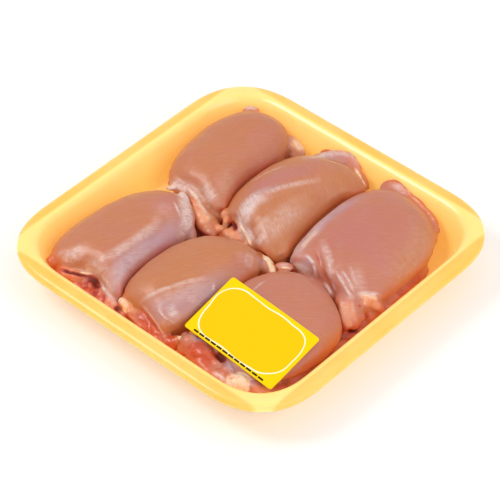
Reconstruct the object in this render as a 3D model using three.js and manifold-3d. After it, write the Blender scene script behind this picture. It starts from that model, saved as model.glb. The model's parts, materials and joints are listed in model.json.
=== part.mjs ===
// Tray pack of raw boneless thighs: a square foam tray with a rolled rim, six folded thighs lying in it
// in two rows of three, and a blank paper label lying over two of them.
// Millimetres, +Z up. The origin is the centre of the tray's underside, X runs along a row of three.

import * as THREE from 'three';
import { mergeVertices } from 'three/addons/utils/BufferGeometryUtils.js';
import Module from 'manifold-3d';

const wasm = await Module();
wasm.setup();

// Driving sizes of the tray
const TRAY_SIDE = 240;
const TRAY_HEIGHT = 30;
const CORNER_RADIUS = 54;
const CORNER_POWER = 2.55;
const CORNER_STEPS = 7;
const FOAM = 4;

// Thumb dent in the lip: its half sizes, its distance from the middle of the tray and its depth under the rim
const DENT_HALF_SIZES = [7.5, 2.6, 5];
const DENT_REACH = 152.4;
const DENT_DEPTH = 3.2;

// Clearance kept between any two pieces
const GAP = 0.4;

// Mesh steps of a meat layer: points round its outline, and levels from its belly to its crown and its base
const FOLD_STEPS = 32;
const CORE_STEPS = 20;
const FOLD_ANGLES = [-40, 0, 15, 30, 45, 60, 74];
const CORE_ANGLES = [-45, 0, 25, 55];
const CROWN_POWER = 2.35;
const BASE_POWER = 2.6;

// How far a ring of a layer near its crown or base is evened out, in passes
const SOFTENING = 14;

// A layer that does not fall away to the front
const NO_FALL = { from: 0, rate: 0 };

// How unevenly a lump bulges: a share of its size, its waves over X, Y and Z, and how its place shifts them
const LUMP_WOBBLE = 0.13;
const LUMP_WAVES = [2.3, 2.9, 2.1];
const LUMP_SHIFTS = [0.9, 1.3];

// Points of a mesh nearer to each other than this are one
const MERGE_DISTANCE = 1e-4;

// Label: its size, the place of its middle, its turn about Z, its tilt down to the front, and its bow
const LABEL_LENGTH = 77;
const LABEL_WIDTH = 45;
const LABEL_THICKNESS = 0.4;
const LABEL_MIDDLE = [58.4, -64.6, 28];
const LABEL_TURN = -3.5;
const LABEL_TILT = 17.5;
const LABEL_BOW = 1;
const LABEL_STEPS = [8, 4];

// Colours of the plain model
const FOAM_YELLOW = 0xfbcf6b;
const MEAT_PINK = 0xcf8871;
const LABEL_YELLOW = 0xffd60c;

// Makes a closed geometry from rings of points with one pole point at each end.
function loft(startPole, rings, endPole) {
  const points = [startPole, ...rings.flat(), endPole];
  const count = rings[0].length;
  const last = points.length - 1;
  const faces = [];
  for (let i = 0; i < count; i += 1) {
    const j = (i + 1) % count;
    faces.push(0, 1 + j, 1 + i);
    for (let r = 0; r < rings.length - 1; r += 1) {
      const a = 1 + r * count;
      const b = a + count;
      faces.push(a + i, a + j, b + j, a + i, b + j, b + i);
    }
    const top = 1 + (rings.length - 1) * count;
    faces.push(top + i, top + j, last);
  }
  const geometry = new THREE.BufferGeometry();
  geometry.setAttribute('position', new THREE.Float32BufferAttribute(points.flat(), 3));
  geometry.setIndex(faces);
  return geometry;
}

// Turns a closed geometry into a solid that can be joined and cut.
function solidOf(geometry) {
  const bare = new THREE.BufferGeometry();
  bare.setAttribute('position', geometry.getAttribute('position'));
  if (geometry.index) bare.setIndex(geometry.index);
  const merged = mergeVertices(bare, MERGE_DISTANCE);
  const mesh = new wasm.Mesh({
    numProp: 3,
    vertProperties: Float32Array.from(merged.getAttribute('position').array),
    triVerts: Uint32Array.from(merged.index.array),
  });
  return new wasm.Manifold(mesh);
}

// The largest body of a solid, with loose scraps dropped.
function largestBody(solid) {
  return solid.decompose().reduce((best, body) => (body.volume() > best.volume() ? body : best));
}

// Turns a solid into a named mesh placed at the middle of its base.
function meshOf(name, solid, material) {
  const { vertProperties, triVerts } = solid.getMesh();
  const geometry = new THREE.BufferGeometry();
  geometry.setAttribute('position', new THREE.Float32BufferAttribute(vertProperties, 3));
  geometry.setIndex(Array.from(triVerts));
  geometry.computeBoundingBox();
  const { min, max } = geometry.boundingBox;
  const foot = new THREE.Vector3((min.x + max.x) / 2, (min.y + max.y) / 2, min.z);
  geometry.translate(-foot.x, -foot.y, -foot.z);
  geometry.computeVertexNormals();
  const mesh = new THREE.Mesh(geometry, material);
  mesh.name = name;
  mesh.position.copy(foot);
  return mesh;
}

// Raises |value| to a power and keeps its sign.
function signedPower(value, power) {
  return Math.sign(value) * Math.abs(value) ** power;
}

// One level ring of the tray: a square with soft corners, drawn in by inset.
function trayRing(inset, z) {
  const half = TRAY_SIDE / 2 - inset;
  const radius = CORNER_RADIUS - inset;
  const ring = [];
  for (let quarter = 0; quarter < 4; quarter += 1) {
    for (let step = 0; step <= CORNER_STEPS; step += 1) {
      const angle = (quarter + step / CORNER_STEPS) * (Math.PI / 2);
      const x = signedPower(Math.cos(angle), 2 / CORNER_POWER);
      const y = signedPower(Math.sin(angle), 2 / CORNER_POWER);
      const sideX = quarter === 0 || quarter === 3 ? 1 : -1;
      const sideY = quarter < 2 ? 1 : -1;
      ring.push([sideX * (half - radius) + radius * x, sideY * (half - radius) + radius * y, z]);
    }
  }
  return ring;
}

// Section of the inside of the tray, from the top of the rim down to the floor: [inset, height].
const INNER_SECTION = [
  [7.2, TRAY_HEIGHT],
  [9.8, TRAY_HEIGHT - 0.5],
  [12.0, TRAY_HEIGHT - 1.9],
  [13.8, TRAY_HEIGHT - 4.4],
  [15.8, TRAY_HEIGHT - 9],
  [19.6, FOAM + 8],
  [22.2, FOAM + 3.8],
  [25.8, FOAM + 1],
  [31, FOAM],
];

// Section of the outside of the tray, from the foot up the wall and round the lip: [inset, height].
const OUTER_SECTION = [
  [27.5, 0],
  [24.2, 0.9],
  [21.6, 3.4],
  [18.4, 7.6],
  [15, 14],
  [11.6, TRAY_HEIGHT - 8.6],
  [10, TRAY_HEIGHT - 5.8],
  [8, TRAY_HEIGHT - 4.6],
  [5.8, TRAY_HEIGHT - 4.8],
  [4.4, TRAY_HEIGHT - 5.6],
  [2.6, TRAY_HEIGHT - 6.1],
  [1, TRAY_HEIGHT - 6],
  [0.2, TRAY_HEIGHT - 5.2],
  [0, TRAY_HEIGHT - 3.9],
  [0.5, TRAY_HEIGHT - 2.2],
  [2.2, TRAY_HEIGHT - 0.8],
  [4.5, TRAY_HEIGHT - 0.15],
];

// The foam tray, with the small thumb dent moulded in the lip at its front corner.
function buildTray() {
  const rings = [...OUTER_SECTION, ...INNER_SECTION].map(([inset, z]) => trayRing(inset, z));
  const body = solidOf(loft([0, 0, 0], rings, [0, 0, FOAM]));
  const dent = new THREE.IcosahedronGeometry(1, 2);
  dent.scale(...DENT_HALF_SIZES);
  dent.rotateZ(Math.PI / 4);
  const along = DENT_REACH * Math.SQRT1_2;
  dent.translate(along, -along, TRAY_HEIGHT - DENT_DEPTH);
  return body.subtract(solidOf(dent));
}

// The room inside the tray, kept clear of its walls, used to trim what lies in it.
function trayRoom() {
  const rings = [...INNER_SECTION].reverse().map(([inset, z]) => trayRing(inset + GAP, z + GAP));
  const rim = INNER_SECTION[0][0];
  rings.push(trayRing(rim + GAP, TRAY_HEIGHT * 2));
  return solidOf(loft([0, 0, FOAM + GAP], rings, [0, 0, TRAY_HEIGHT * 2]));
}

// Distance from a point to a path of points, in plan.
function distanceToPath(x, y, path) {
  let best = Infinity;
  for (let i = 0; i < path.length - 1; i += 1) {
    const [ax, ay] = path[i];
    const [bx, by] = path[i + 1];
    const length2 = (bx - ax) ** 2 + (by - ay) ** 2;
    const along = Math.min(1, Math.max(0, ((x - ax) * (bx - ax) + (y - ay) * (by - ay)) / length2));
    best = Math.min(best, Math.hypot(x - ax - along * (bx - ax), y - ay - along * (by - ay)));
  }
  return best;
}

// Height that the ridges and creases add to a layer's upper side at a point.
function reliefAt(x, y, relief) {
  return relief.reduce((sum, { path, height, width }) => {
    const share = distanceToPath(x, y, path) / width;
    return sum + height * Math.exp(-share * share);
  }, 0);
}

// The nearest point to p on the line between two points, in plan.
function nearestOnSpine(p, [from, to]) {
  const [dx, dy] = [to[0] - from[0], to[1] - from[1]];
  const along = ((p.x - from[0]) * dx + (p.y - from[1]) * dy) / (dx * dx + dy * dy);
  const share = Math.min(1, Math.max(0, along));
  return [from[0] + share * dx, from[1] + share * dy];
}

// How far a layer's upper side falls away towards the front of the tray.
function fallAt(y, { from, rate }) {
  return Math.max(0, from - y) * rate;
}

// Evens out a closed ring of points, each pass moving a point halfway to the middle of its neighbours.
function softened(ring, passes) {
  let points = ring;
  for (let pass = 0; pass < passes; pass += 1) {
    points = points.map((p, i) => {
      const before = points[(i + points.length - 1) % points.length];
      const after = points[(i + 1) % points.length];
      return p.map((value, axis) => value / 2 + (before[axis] + after[axis]) / 4);
    });
  }
  return points;
}

// A plump layer of meat. Its outline in plan is its belly, and it closes over its spine in a dome and
// under it in a flatter base. grow makes it that much larger all round.
function layer(shape, grow = 0) {
  const { outline, spine, base, belly, crown, steps, angles, relief = [], fall = NO_FALL } = shape;
  const points = outline.map(([x, y]) => new THREE.Vector3(x, y, 0));
  const edge = new THREE.CatmullRomCurve3(points, true, 'centripetal').getSpacedPoints(steps);
  edge.pop();
  if (THREE.ShapeUtils.area(edge) < 0) edge.reverse();
  const ringAt = (degrees) => {
    const angle = THREE.MathUtils.degToRad(degrees);
    const above = degrees >= 0;
    const power = above ? CROWN_POWER : BASE_POWER;
    const reach = Math.cos(angle) ** (2 / power);
    const rise = signedPower(Math.sin(angle), 2 / power);
    const height = (above ? crown - belly : belly - base) + grow;
    const ring = edge.map((p) => {
      const [sx, sy] = nearestOnSpine(p, spine);
      const spread = reach * (1 + grow / Math.hypot(p.x - sx, p.y - sy));
      const x = sx + (p.x - sx) * spread;
      const y = sy + (p.y - sy) * spread;
      const lift = above ? rise * (reliefAt(x, y, relief) - fallAt(y, fall)) : 0;
      return [x, y, belly + rise * height + lift];
    });
    return softened(ring, Math.round(SOFTENING * (1 - reach)));
  };
  const [midX, midY] = [(spine[0][0] + spine[1][0]) / 2, (spine[0][1] + spine[1][1]) / 2];
  const top = crown + grow + reliefAt(midX, midY, relief) - fallAt(midY, fall);
  return solidOf(loft([midX, midY, base - grow], angles.map(ringAt), [midX, midY, top]));
}

// A small uneven lump of meat or fat: place, half sizes and turn about Z in degrees.
function lump([x, y, z, halfX, halfY, halfZ, turn = 0], grow = 0) {
  const shape = new THREE.IcosahedronGeometry(1, 1);
  const position = shape.getAttribute('position');
  const v = new THREE.Vector3();
  const [waveX, waveY, waveZ] = LUMP_WAVES;
  const [shiftX, shiftY] = [LUMP_SHIFTS[0] * x, LUMP_SHIFTS[1] * y];
  for (let i = 0; i < position.count; i += 1) {
    v.fromBufferAttribute(position, i);
    const swell = Math.sin(waveX * v.x + shiftX)
      + Math.sin(waveY * v.y + shiftY) * Math.cos(waveZ * v.z + x);
    v.multiplyScalar(1 + LUMP_WOBBLE * swell);
    position.setXYZ(i, v.x, v.y, v.z);
  }
  shape.scale(halfX + grow, halfY + grow, halfZ + grow);
  shape.rotateZ(THREE.MathUtils.degToRad(turn));
  shape.translate(x, y, z);
  return solidOf(shape);
}

// Lumps strung along a path, each with its own thickness, as a cord of fat or a row of ragged ends.
function strungLumps(path, halfSizes, [long, high] = [1.5, 0.9]) {
  const curve = new THREE.CatmullRomCurve3(path.map((p) => new THREE.Vector3(...p)));
  return halfSizes.map((half, index) => {
    const share = index / (halfSizes.length - 1);
    const p = curve.getPoint(share);
    const t = curve.getTangent(share);
    const turn = THREE.MathUtils.radToDeg(Math.atan2(t.y, t.x));
    return [p.x, p.y, p.z, half * long, half, half * high, turn];
  });
}

// Heights and mesh steps shared by the meat layers: the core on the floor and the fold over it
const FLOOR = FOAM + GAP;
const CORE = { base: FLOOR, belly: 10, crown: 23, steps: CORE_STEPS, angles: CORE_ANGLES };
const FOLD = { base: 10, belly: 17, crown: 34.4, steps: FOLD_STEPS, angles: FOLD_ANGLES };

// The thighs. Each is a fold over a core, with the lumps of meat and fat that show at its ends.
const THIGHS = [
  {
    name: 'thigh_front_left',
    layers: [
      {
        ...FOLD,
        spine: [[-65, -70], [-65, -26]],
        outline: [
          [-88, -97], [-95.5, -84], [-97.5, -64], [-95, -38], [-89, -17], [-78, -3], [-66, 3], [-52, 1],
          [-41, -8], [-36.5, -24], [-37, -46], [-37, -64], [-34, -80], [-29, -93], [-38, -93],
          [-48, -89], [-60, -88], [-70, -91], [-80, -96],
        ],
        relief: [
          { path: [[-56, -28], [-55, -52], [-55, -70], [-54, -90]], height: 1.6, width: 8 },
          { path: [[-44, -34], [-43, -74]], height: -1.6, width: 7 },
        ],
      },
      {
        ...CORE,
        spine: [[-66, -70], [-66, -28]],
        outline: [
          [-86, -88], [-93, -66], [-92, -38], [-82, -8], [-64, 2], [-42, -6], [-39, -40], [-39, -70],
          [-36, -89], [-54, -92], [-70, -92],
        ],
      },
    ],
    lumps: [
      ...strungLumps([[-91, -95, 14], [-72, -97, 12.5], [-55, -98, 12], [-35, -98, 12.5]],
        [4.6, 6.0, 5.0, 6.2, 5.2], [1.6, 1.05]),
      [-63, -91, 18, 9, 3.2, 2.6, 0],
    ],
  },
  {
    name: 'thigh_back_left',
    layers: [
      {
        ...FOLD,
        crown: 35.4,
        spine: [[-69, 34], [-70, 76]],
        outline: [
          [-82, 8], [-89, 15], [-95, 30], [-98.5, 50], [-98.5, 70], [-95, 86], [-86, 97], [-70, 103],
          [-56, 99], [-46, 91], [-42, 76], [-42.5, 58], [-43, 42], [-39, 26], [-34, 12], [-43, 7],
          [-56, 10], [-70, 11],
        ],
      },
      {
        ...CORE,
        spine: [[-68, 34], [-68, 76]],
        outline: [
          [-82, 10], [-91, 30], [-95, 56], [-90, 83], [-74, 97], [-50, 98], [-40, 90], [-44, 66],
          [-45, 42], [-36, 20], [-26, 0], [-36, -6], [-52, 1], [-66, 5],
        ],
      },
    ],
    lumps: [
      ...strungLumps([
        [-78, 8, 20], [-72, 9.5, 21], [-64, 9.5, 21], [-54, 5, 18.5], [-44, 0, 16], [-34, -4, 15],
      ], [2.8, 4.4, 5, 5.6, 6.2, 5.2], [1.9, 0.9]),
      [-44, 97, 17, 6.5, 5, 4.6, -20],
      [-40, 90, 18, 4.4, 6, 4.4, 10],
      [-88, 99, 23, 6.5, 4.5, 2.6, 35],
    ],
  },
  {
    name: 'thigh_front_middle',
    layers: [
      {
        ...FOLD,
        spine: [[-8, -68], [-7, -30]],
        outline: [
          [-27, -92], [-34, -83], [-37, -70], [-37.5, -54], [-36, -38], [-30, -22], [-19, -10], [-4, -4],
          [9, -3], [18, -9], [21, -22], [21, -40], [20, -58], [18, -72], [16, -84], [12, -95],
          [3, -94], [-8, -91], [-18, -91],
        ],
        relief: [
          { path: [[-18, -88], [-16, -72], [-9, -58], [0, -46], [8, -36]], height: 1.8, width: 8 },
          { path: [[2, -86], [8, -68], [13, -52]], height: -1.4, width: 8 },
        ],
      },
      {
        ...CORE,
        spine: [[-6, -70], [-6, -30]],
        outline: [
          [-24, -88], [-33, -70], [-34, -44], [-24, -13], [4, -5], [19, -9], [20, -50], [18, -76],
          [14, -92], [0, -92], [-14, -90],
        ],
      },
    ],
    lumps: [
      [-27.5, -93, 16, 4.5, 3.8, 4.4, 40],
      ...strungLumps([[-15, -94, 12.5], [-4, -96, 12], [8, -98, 11]], [5.6, 6, 5], [1.6, 1.1]),
      ...strungLumps([[12, -2.5, 16.5], [22, -6, 15]], [4.6, 4.4], [1.7, 0.95]),
    ],
  },
  {
    name: 'thigh_back_middle',
    layers: [
      {
        ...FOLD,
        crown: 34.8,
        spine: [[-10, 28], [-9, 72]],
        outline: [
          [-31, 9], [-38, 19], [-41.5, 36], [-42, 54], [-40, 68], [-35, 80], [-27, 89], [-15, 95],
          [0, 97], [13, 96], [23, 92], [22, 82], [17, 70], [16, 56], [18, 38], [21, 20],
          [24, 5], [18, -1], [8, -1], [-4, 3], [-16, 8], [-24, 10],
        ],
        relief: [
          { path: [[-14, 4], [-17, 18], [-18, 32], [-15, 47], [-9, 60], [0, 74]], height: 2.2, width: 8 },
          { path: [[-31, 24], [-32, 44], [-27, 62]], height: -1, width: 7 },
        ],
      },
      {
        ...CORE,
        spine: [[-10, 30], [-10, 78]],
        outline: [
          [-26, 8], [-38, 34], [-38, 60], [-34, 82], [-27, 98], [-12, 104], [4, 103], [16, 96],
          [15, 74], [13, 50], [18, 24], [20, 0], [2, -2], [-16, -1],
        ],
      },
    ],
    lumps: [
      [-15, 102, 21, 14, 8, 2.6, 14],
      [4, 99, 19, 10, 8, 2.8, -20],
      ...strungLumps([[-27, 2, 14], [-18, -1, 15.5], [-6, -1, 15]], [4.2, 4.4, 4.2], [1.4, 1]),
      ...strungLumps([[-17, 6, 20], [-4, 2, 18.5]], [3.4, 3.4], [2.4, 0.9]),
    ],
  },
  {
    name: 'thigh_front_right',
    layers: [
      {
        ...FOLD,
        crown: 34.8,
        spine: [[60, -60], [62, -32]],
        fall: { from: -46, rate: 0.3 },
        outline: [
          [27, -82], [22, -66], [20, -48], [20, -30], [26, -13], [36, -2], [48, 2], [61, 1],
          [73, -3], [86, -11], [96, -21], [100, -34], [100.5, -48], [98, -64], [92, -78], [81, -87],
          [66, -88], [50, -85], [37, -83],
        ],
      },
      {
        ...CORE,
        spine: [[61, -62], [62, -34]],
        crown: 20,
        outline: [
          [28, -84], [24, -60], [25, -30], [29, -3], [60, 0], [84, -11], [93, -26], [97, -44], [94, -68],
          [84, -86], [62, -92], [42, -89],
        ],
      },
    ],
    lumps: [
      ...strungLumps([[24, -87, 13.5], [34, -91, 13], [44, -94, 12.5], [53, -96, 12]],
        [4.8, 6.0, 5.2, 5.6], [1.5, 1.05]),
      ...strungLumps([[37, -85, 16.5], [53, -89, 15.5]], [4.2, 4.6], [1.9, 0.85]),
      [62, -95, 14, 6.4, 5, 4.4, 10],
      ...strungLumps([[74, -96, 12.5], [88, -88, 13]], [5.6, 5.0], [1.7, 1]),
      [31, -2, 17, 6, 3.4, 3.2, 20],
    ],
  },
  {
    name: 'thigh_back_right',
    layers: [
      {
        ...FOLD,
        spine: [[57, 34], [57, 72]],
        outline: [
          [27, 6], [22, 18], [19, 36], [17.5, 54], [18, 72], [22, 88], [32, 100], [46, 103],
          [61, 100], [74, 94], [84, 86], [91, 76], [95, 62], [96, 44], [96, 28], [95, 12], [93, -1],
          [87, -6], [78, 0], [67, 4], [54, 7], [40, 6],
        ],
        relief: [
          { path: [[33, 12], [29, 30], [26, 48], [26, 66]], height: 1.2, width: 7 },
          { path: [[40, 14], [38, 32], [36, 50]], height: -1.2, width: 7 },
          { path: [[46, 20], [60, 12], [80, 4]], height: -1.8, width: 7 },
        ],
      },
      {
        ...CORE,
        spine: [[58, 36], [58, 74]],
        outline: [
          [28, 6], [24, 40], [23, 72], [32, 99], [50, 103], [68, 98], [84, 84], [91, 60],
          [91, 34], [92, 6], [90, -8], [82, -4], [68, 0], [48, 1], [30, 0],
        ],
      },
    ],
    lumps: [
      [80, 0, 20, 9, 6, 4.2, -30],
      [90, -4, 16.5, 6, 6, 4.6, -50],
      ...strungLumps([[95, 14, 12.5], [93.5, 36, 11.5], [91, 58, 11.5]], [4.2, 4.8, 4.2], [2.8, 0.9]),
      [35, 106, 22, 7, 5, 2.8, 5],
      ...strungLumps([[50, 102, 18], [68, 97, 18], [80, 88, 18]], [3.6, 3.8, 3.6], [3, 0.8]),
    ],
  },
];

// One thigh as a single solid.
function thighSolid({ layers, lumps }, grow = 0) {
  const parts = [
    ...layers.map((shape) => layer(shape, grow)),
    ...lumps.map((shape) => lump(shape, grow)),
  ];
  return parts.reduce((whole, part) => whole.add(part));
}

// A slab with the outline, tilt and bow of the label, between two offsets from its underside.
function labelSlab(from, to) {
  const slab = new THREE.BoxGeometry(LABEL_LENGTH, LABEL_WIDTH, to - from, ...LABEL_STEPS, 1);
  const position = slab.getAttribute('position');
  for (let i = 0; i < position.count; i += 1) {
    const along = (2 * position.getX(i)) / LABEL_LENGTH;
    position.setZ(i, position.getZ(i) + (from + to) / 2 + LABEL_BOW * (1 - along * along));
  }
  slab.rotateX(THREE.MathUtils.degToRad(LABEL_TILT));
  slab.rotateZ(THREE.MathUtils.degToRad(LABEL_TURN));
  slab.translate(...LABEL_MIDDLE);
  return solidOf(slab);
}

// All thighs, trimmed to the room in the tray, pressed flat under the label and pressed against each
// other, with a small gap and no overlap.
function buildThighs() {
  const room = trayRoom();
  const pressedByLabel = labelSlab(-GAP, TRAY_HEIGHT);
  const grown = THIGHS.map((thigh) => thighSolid(thigh, GAP));
  return THIGHS.map((thigh, index) => {
    const trimmed = thighSolid(thigh).intersect(room).subtract(pressedByLabel);
    const pressed = grown.slice(0, index).reduce((solid, before) => solid.subtract(before), trimmed);
    return largestBody(pressed);
  });
}

const foam = new THREE.MeshStandardMaterial({ color: FOAM_YELLOW, roughness: 0.55, metalness: 0 });
const meat = new THREE.MeshStandardMaterial({ color: MEAT_PINK, roughness: 0.35, metalness: 0 });
const paper = new THREE.MeshStandardMaterial({ color: LABEL_YELLOW, roughness: 0.5, metalness: 0 });

const pack = new THREE.Group();
pack.add(meshOf('tray', buildTray(), foam));
buildThighs().forEach((solid, index) => pack.add(meshOf(THIGHS[index].name, solid, meat)));
pack.add(meshOf('label', labelSlab(0, LABEL_THICKNESS), paper));

export default pack;
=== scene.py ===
"""Looks for a family tray of raw boneless thighs: a foam tray, six folded thighs and a plain label.

Metres, +Z up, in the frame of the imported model. The classes hold millimetres, as a maker would write
them down, and a place given in pixels is a point of the 500 pixel wide photograph.
"""

import json
import logging
import math
from dataclasses import dataclass
from enum import Enum
from functools import partial
from typing import Any, Callable, Sequence

import bmesh
import bpy
import numpy as np
from mathutils import Matrix, Vector
from mathutils.bvhtree import BVHTree
from mathutils.kdtree import KDTree

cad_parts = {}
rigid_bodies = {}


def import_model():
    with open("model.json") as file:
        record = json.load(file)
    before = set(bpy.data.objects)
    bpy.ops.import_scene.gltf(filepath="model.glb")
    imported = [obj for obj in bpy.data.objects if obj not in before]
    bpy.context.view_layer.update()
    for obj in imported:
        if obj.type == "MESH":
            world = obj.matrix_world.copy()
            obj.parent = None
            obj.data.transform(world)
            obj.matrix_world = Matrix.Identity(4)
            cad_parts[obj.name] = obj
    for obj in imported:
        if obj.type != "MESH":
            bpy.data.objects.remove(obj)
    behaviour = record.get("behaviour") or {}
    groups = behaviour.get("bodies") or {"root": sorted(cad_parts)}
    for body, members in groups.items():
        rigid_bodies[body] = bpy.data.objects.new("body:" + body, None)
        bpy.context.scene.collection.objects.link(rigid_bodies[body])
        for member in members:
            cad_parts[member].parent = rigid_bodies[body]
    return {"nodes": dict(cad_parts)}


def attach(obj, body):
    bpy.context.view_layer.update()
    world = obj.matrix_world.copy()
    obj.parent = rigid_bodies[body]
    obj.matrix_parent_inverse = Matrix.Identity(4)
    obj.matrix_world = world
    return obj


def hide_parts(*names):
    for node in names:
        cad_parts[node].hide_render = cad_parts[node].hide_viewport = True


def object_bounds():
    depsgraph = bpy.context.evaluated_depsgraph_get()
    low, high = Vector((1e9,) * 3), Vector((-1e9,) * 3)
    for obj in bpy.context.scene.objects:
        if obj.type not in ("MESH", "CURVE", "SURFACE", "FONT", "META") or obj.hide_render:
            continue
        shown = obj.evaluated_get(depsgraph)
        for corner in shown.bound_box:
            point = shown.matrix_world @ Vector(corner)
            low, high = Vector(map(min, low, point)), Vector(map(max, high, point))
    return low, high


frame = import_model()
CAD_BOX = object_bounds()

LOG = logging.getLogger("tray_pack")
MM = 0.001
BODY = "root"
# Attribute of the painted warm shade and bounce light near the tray and the other thighs.
CONTACT_SHADE = "near"

Pixel = tuple[float, float]
Point = tuple[float, float, float]
Colour = tuple[float, float, float]


def linear(*channels: int) -> Colour:
    """Turns the red, green and blue of an sRGB screen colour, 0 to 255, into linear light."""
    shares = [channel / 255 for channel in channels]
    return tuple(s / 12.92 if s <= 0.04045 else ((s + 0.055) / 1.055) ** 2.4 for s in shares)


def smoothstep(low: float, high: float, values: np.ndarray) -> np.ndarray:
    """Goes smoothly from 0 where the values reach low to 1 where they reach high."""
    share = np.clip((values - low) / (high - low), 0, 1)
    return share * share * (3 - 2 * share)


# Work on meshes

def select_only(piece: bpy.types.Object) -> None:
    """Selects one object and nothing else.

    Args:
        piece: The object to select and make active.
    """
    bpy.ops.object.select_all(action="DESELECT")
    piece.select_set(True)
    bpy.context.view_layer.objects.active = piece


def node_copy(node: str, name: str) -> bpy.types.Object:
    """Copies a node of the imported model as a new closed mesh.

    Args:
        node: The node's name.
        name: The name of the new piece.

    Returns:
        The new object, with its doubles merged and no material.
    """
    mesh = frame["nodes"][node].data.copy()
    mesh.materials.clear()
    piece = bpy.data.objects.new(name, mesh)
    bpy.context.scene.collection.objects.link(piece)
    select_only(piece)
    bpy.ops.object.mode_set(mode="EDIT")
    bpy.ops.mesh.select_all(action="SELECT")
    bpy.ops.mesh.remove_doubles(threshold=0.01 * MM)
    bpy.ops.object.mode_set(mode="OBJECT")
    return piece


def apply_modifier(piece: bpy.types.Object, kind: str, **settings: Any) -> None:
    """Adds a modifier to a piece and applies it.

    Args:
        piece: The object to change.
        kind: The modifier's type.
        **settings: Its settings by name.
    """
    select_only(piece)
    modifier = piece.modifiers.new(kind.lower(), kind)
    for key, value in settings.items():
        setattr(modifier, key, value)
    bpy.ops.object.modifier_apply(modifier=modifier.name)


def read_vectors(items: bpy.types.bpy_prop_collection, field: str) -> np.ndarray:
    """Reads a vector of each item of a mesh.

    Args:
        items: The mesh's vertices or their normals.
        field: The vector's name.

    Returns:
        One row for each item.
    """
    flat = np.empty(3 * len(items))
    items.foreach_get(field, flat)
    return flat.reshape(-1, 3)


def points_of(piece: bpy.types.Object) -> np.ndarray:
    """Reads the vertices of a piece in millimetres."""
    return read_vectors(piece.data.vertices, "co") / MM


def normals_of(piece: bpy.types.Object) -> np.ndarray:
    """Reads the vertex normals of a piece."""
    return read_vectors(piece.data.vertex_normals, "vector")


def move_points(piece: bpy.types.Object, points: np.ndarray) -> None:
    """Writes the vertices of a piece, given in millimetres."""
    piece.data.vertices.foreach_set("co", (points * MM).ravel())
    piece.data.update()


def write_mask(piece: bpy.types.Object, name: str, values: np.ndarray) -> None:
    """Stores one number for each vertex of a piece, as an attribute that materials read by its name."""
    attribute = piece.data.attributes.new(name, "FLOAT", "POINT")
    attribute.data.foreach_set("value", values.astype(np.float32))


def gaps_to(names: Sequence[str], points: np.ndarray) -> np.ndarray:
    """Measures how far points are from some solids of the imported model.

    Args:
        names: The solids' nodes.
        points: Points in millimetres.

    Returns:
        Each point's distance in millimetres.
    """
    corners, faces = [], []
    for name in names:
        piece = frame["nodes"][name]
        first = len(corners)
        corners += [tuple(point) for point in points_of(piece)]
        faces += [tuple(first + corner for corner in face.vertices) for face in piece.data.polygons]
    surface = BVHTree.FromPolygons(corners, faces)
    return np.array([surface.find_nearest(point)[3] for point in points])


def measure_line(points: np.ndarray, line: Sequence[Vector]) -> tuple[np.ndarray, np.ndarray]:
    """Measures how far each point is from a line of straight runs, and how far along it.

    Args:
        points: Points in millimetres.
        line: The line's corners in millimetres.

    Returns:
        The distance of each point, and its share of the way along, 0 to 1.
    """
    corners = [np.array(corner) for corner in line]
    lengths = [np.linalg.norm(end - start) for start, end in zip(corners, corners[1:])]
    best = np.full(len(points), np.inf)
    along = np.zeros(len(points))
    passed = 0.0
    for start, end, length in zip(corners, corners[1:], lengths):
        run = end - start
        share = np.clip((points - start) @ run / max(length ** 2, 1e-9), 0, 1)
        distance = np.linalg.norm(points - start - share[:, None] * run, axis=1)
        nearer = distance < best
        best[nearer] = distance[nearer]
        along[nearer] = (passed + share[nearer] * length) / sum(lengths)
        passed += length
    return best, along


# The camera

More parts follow.
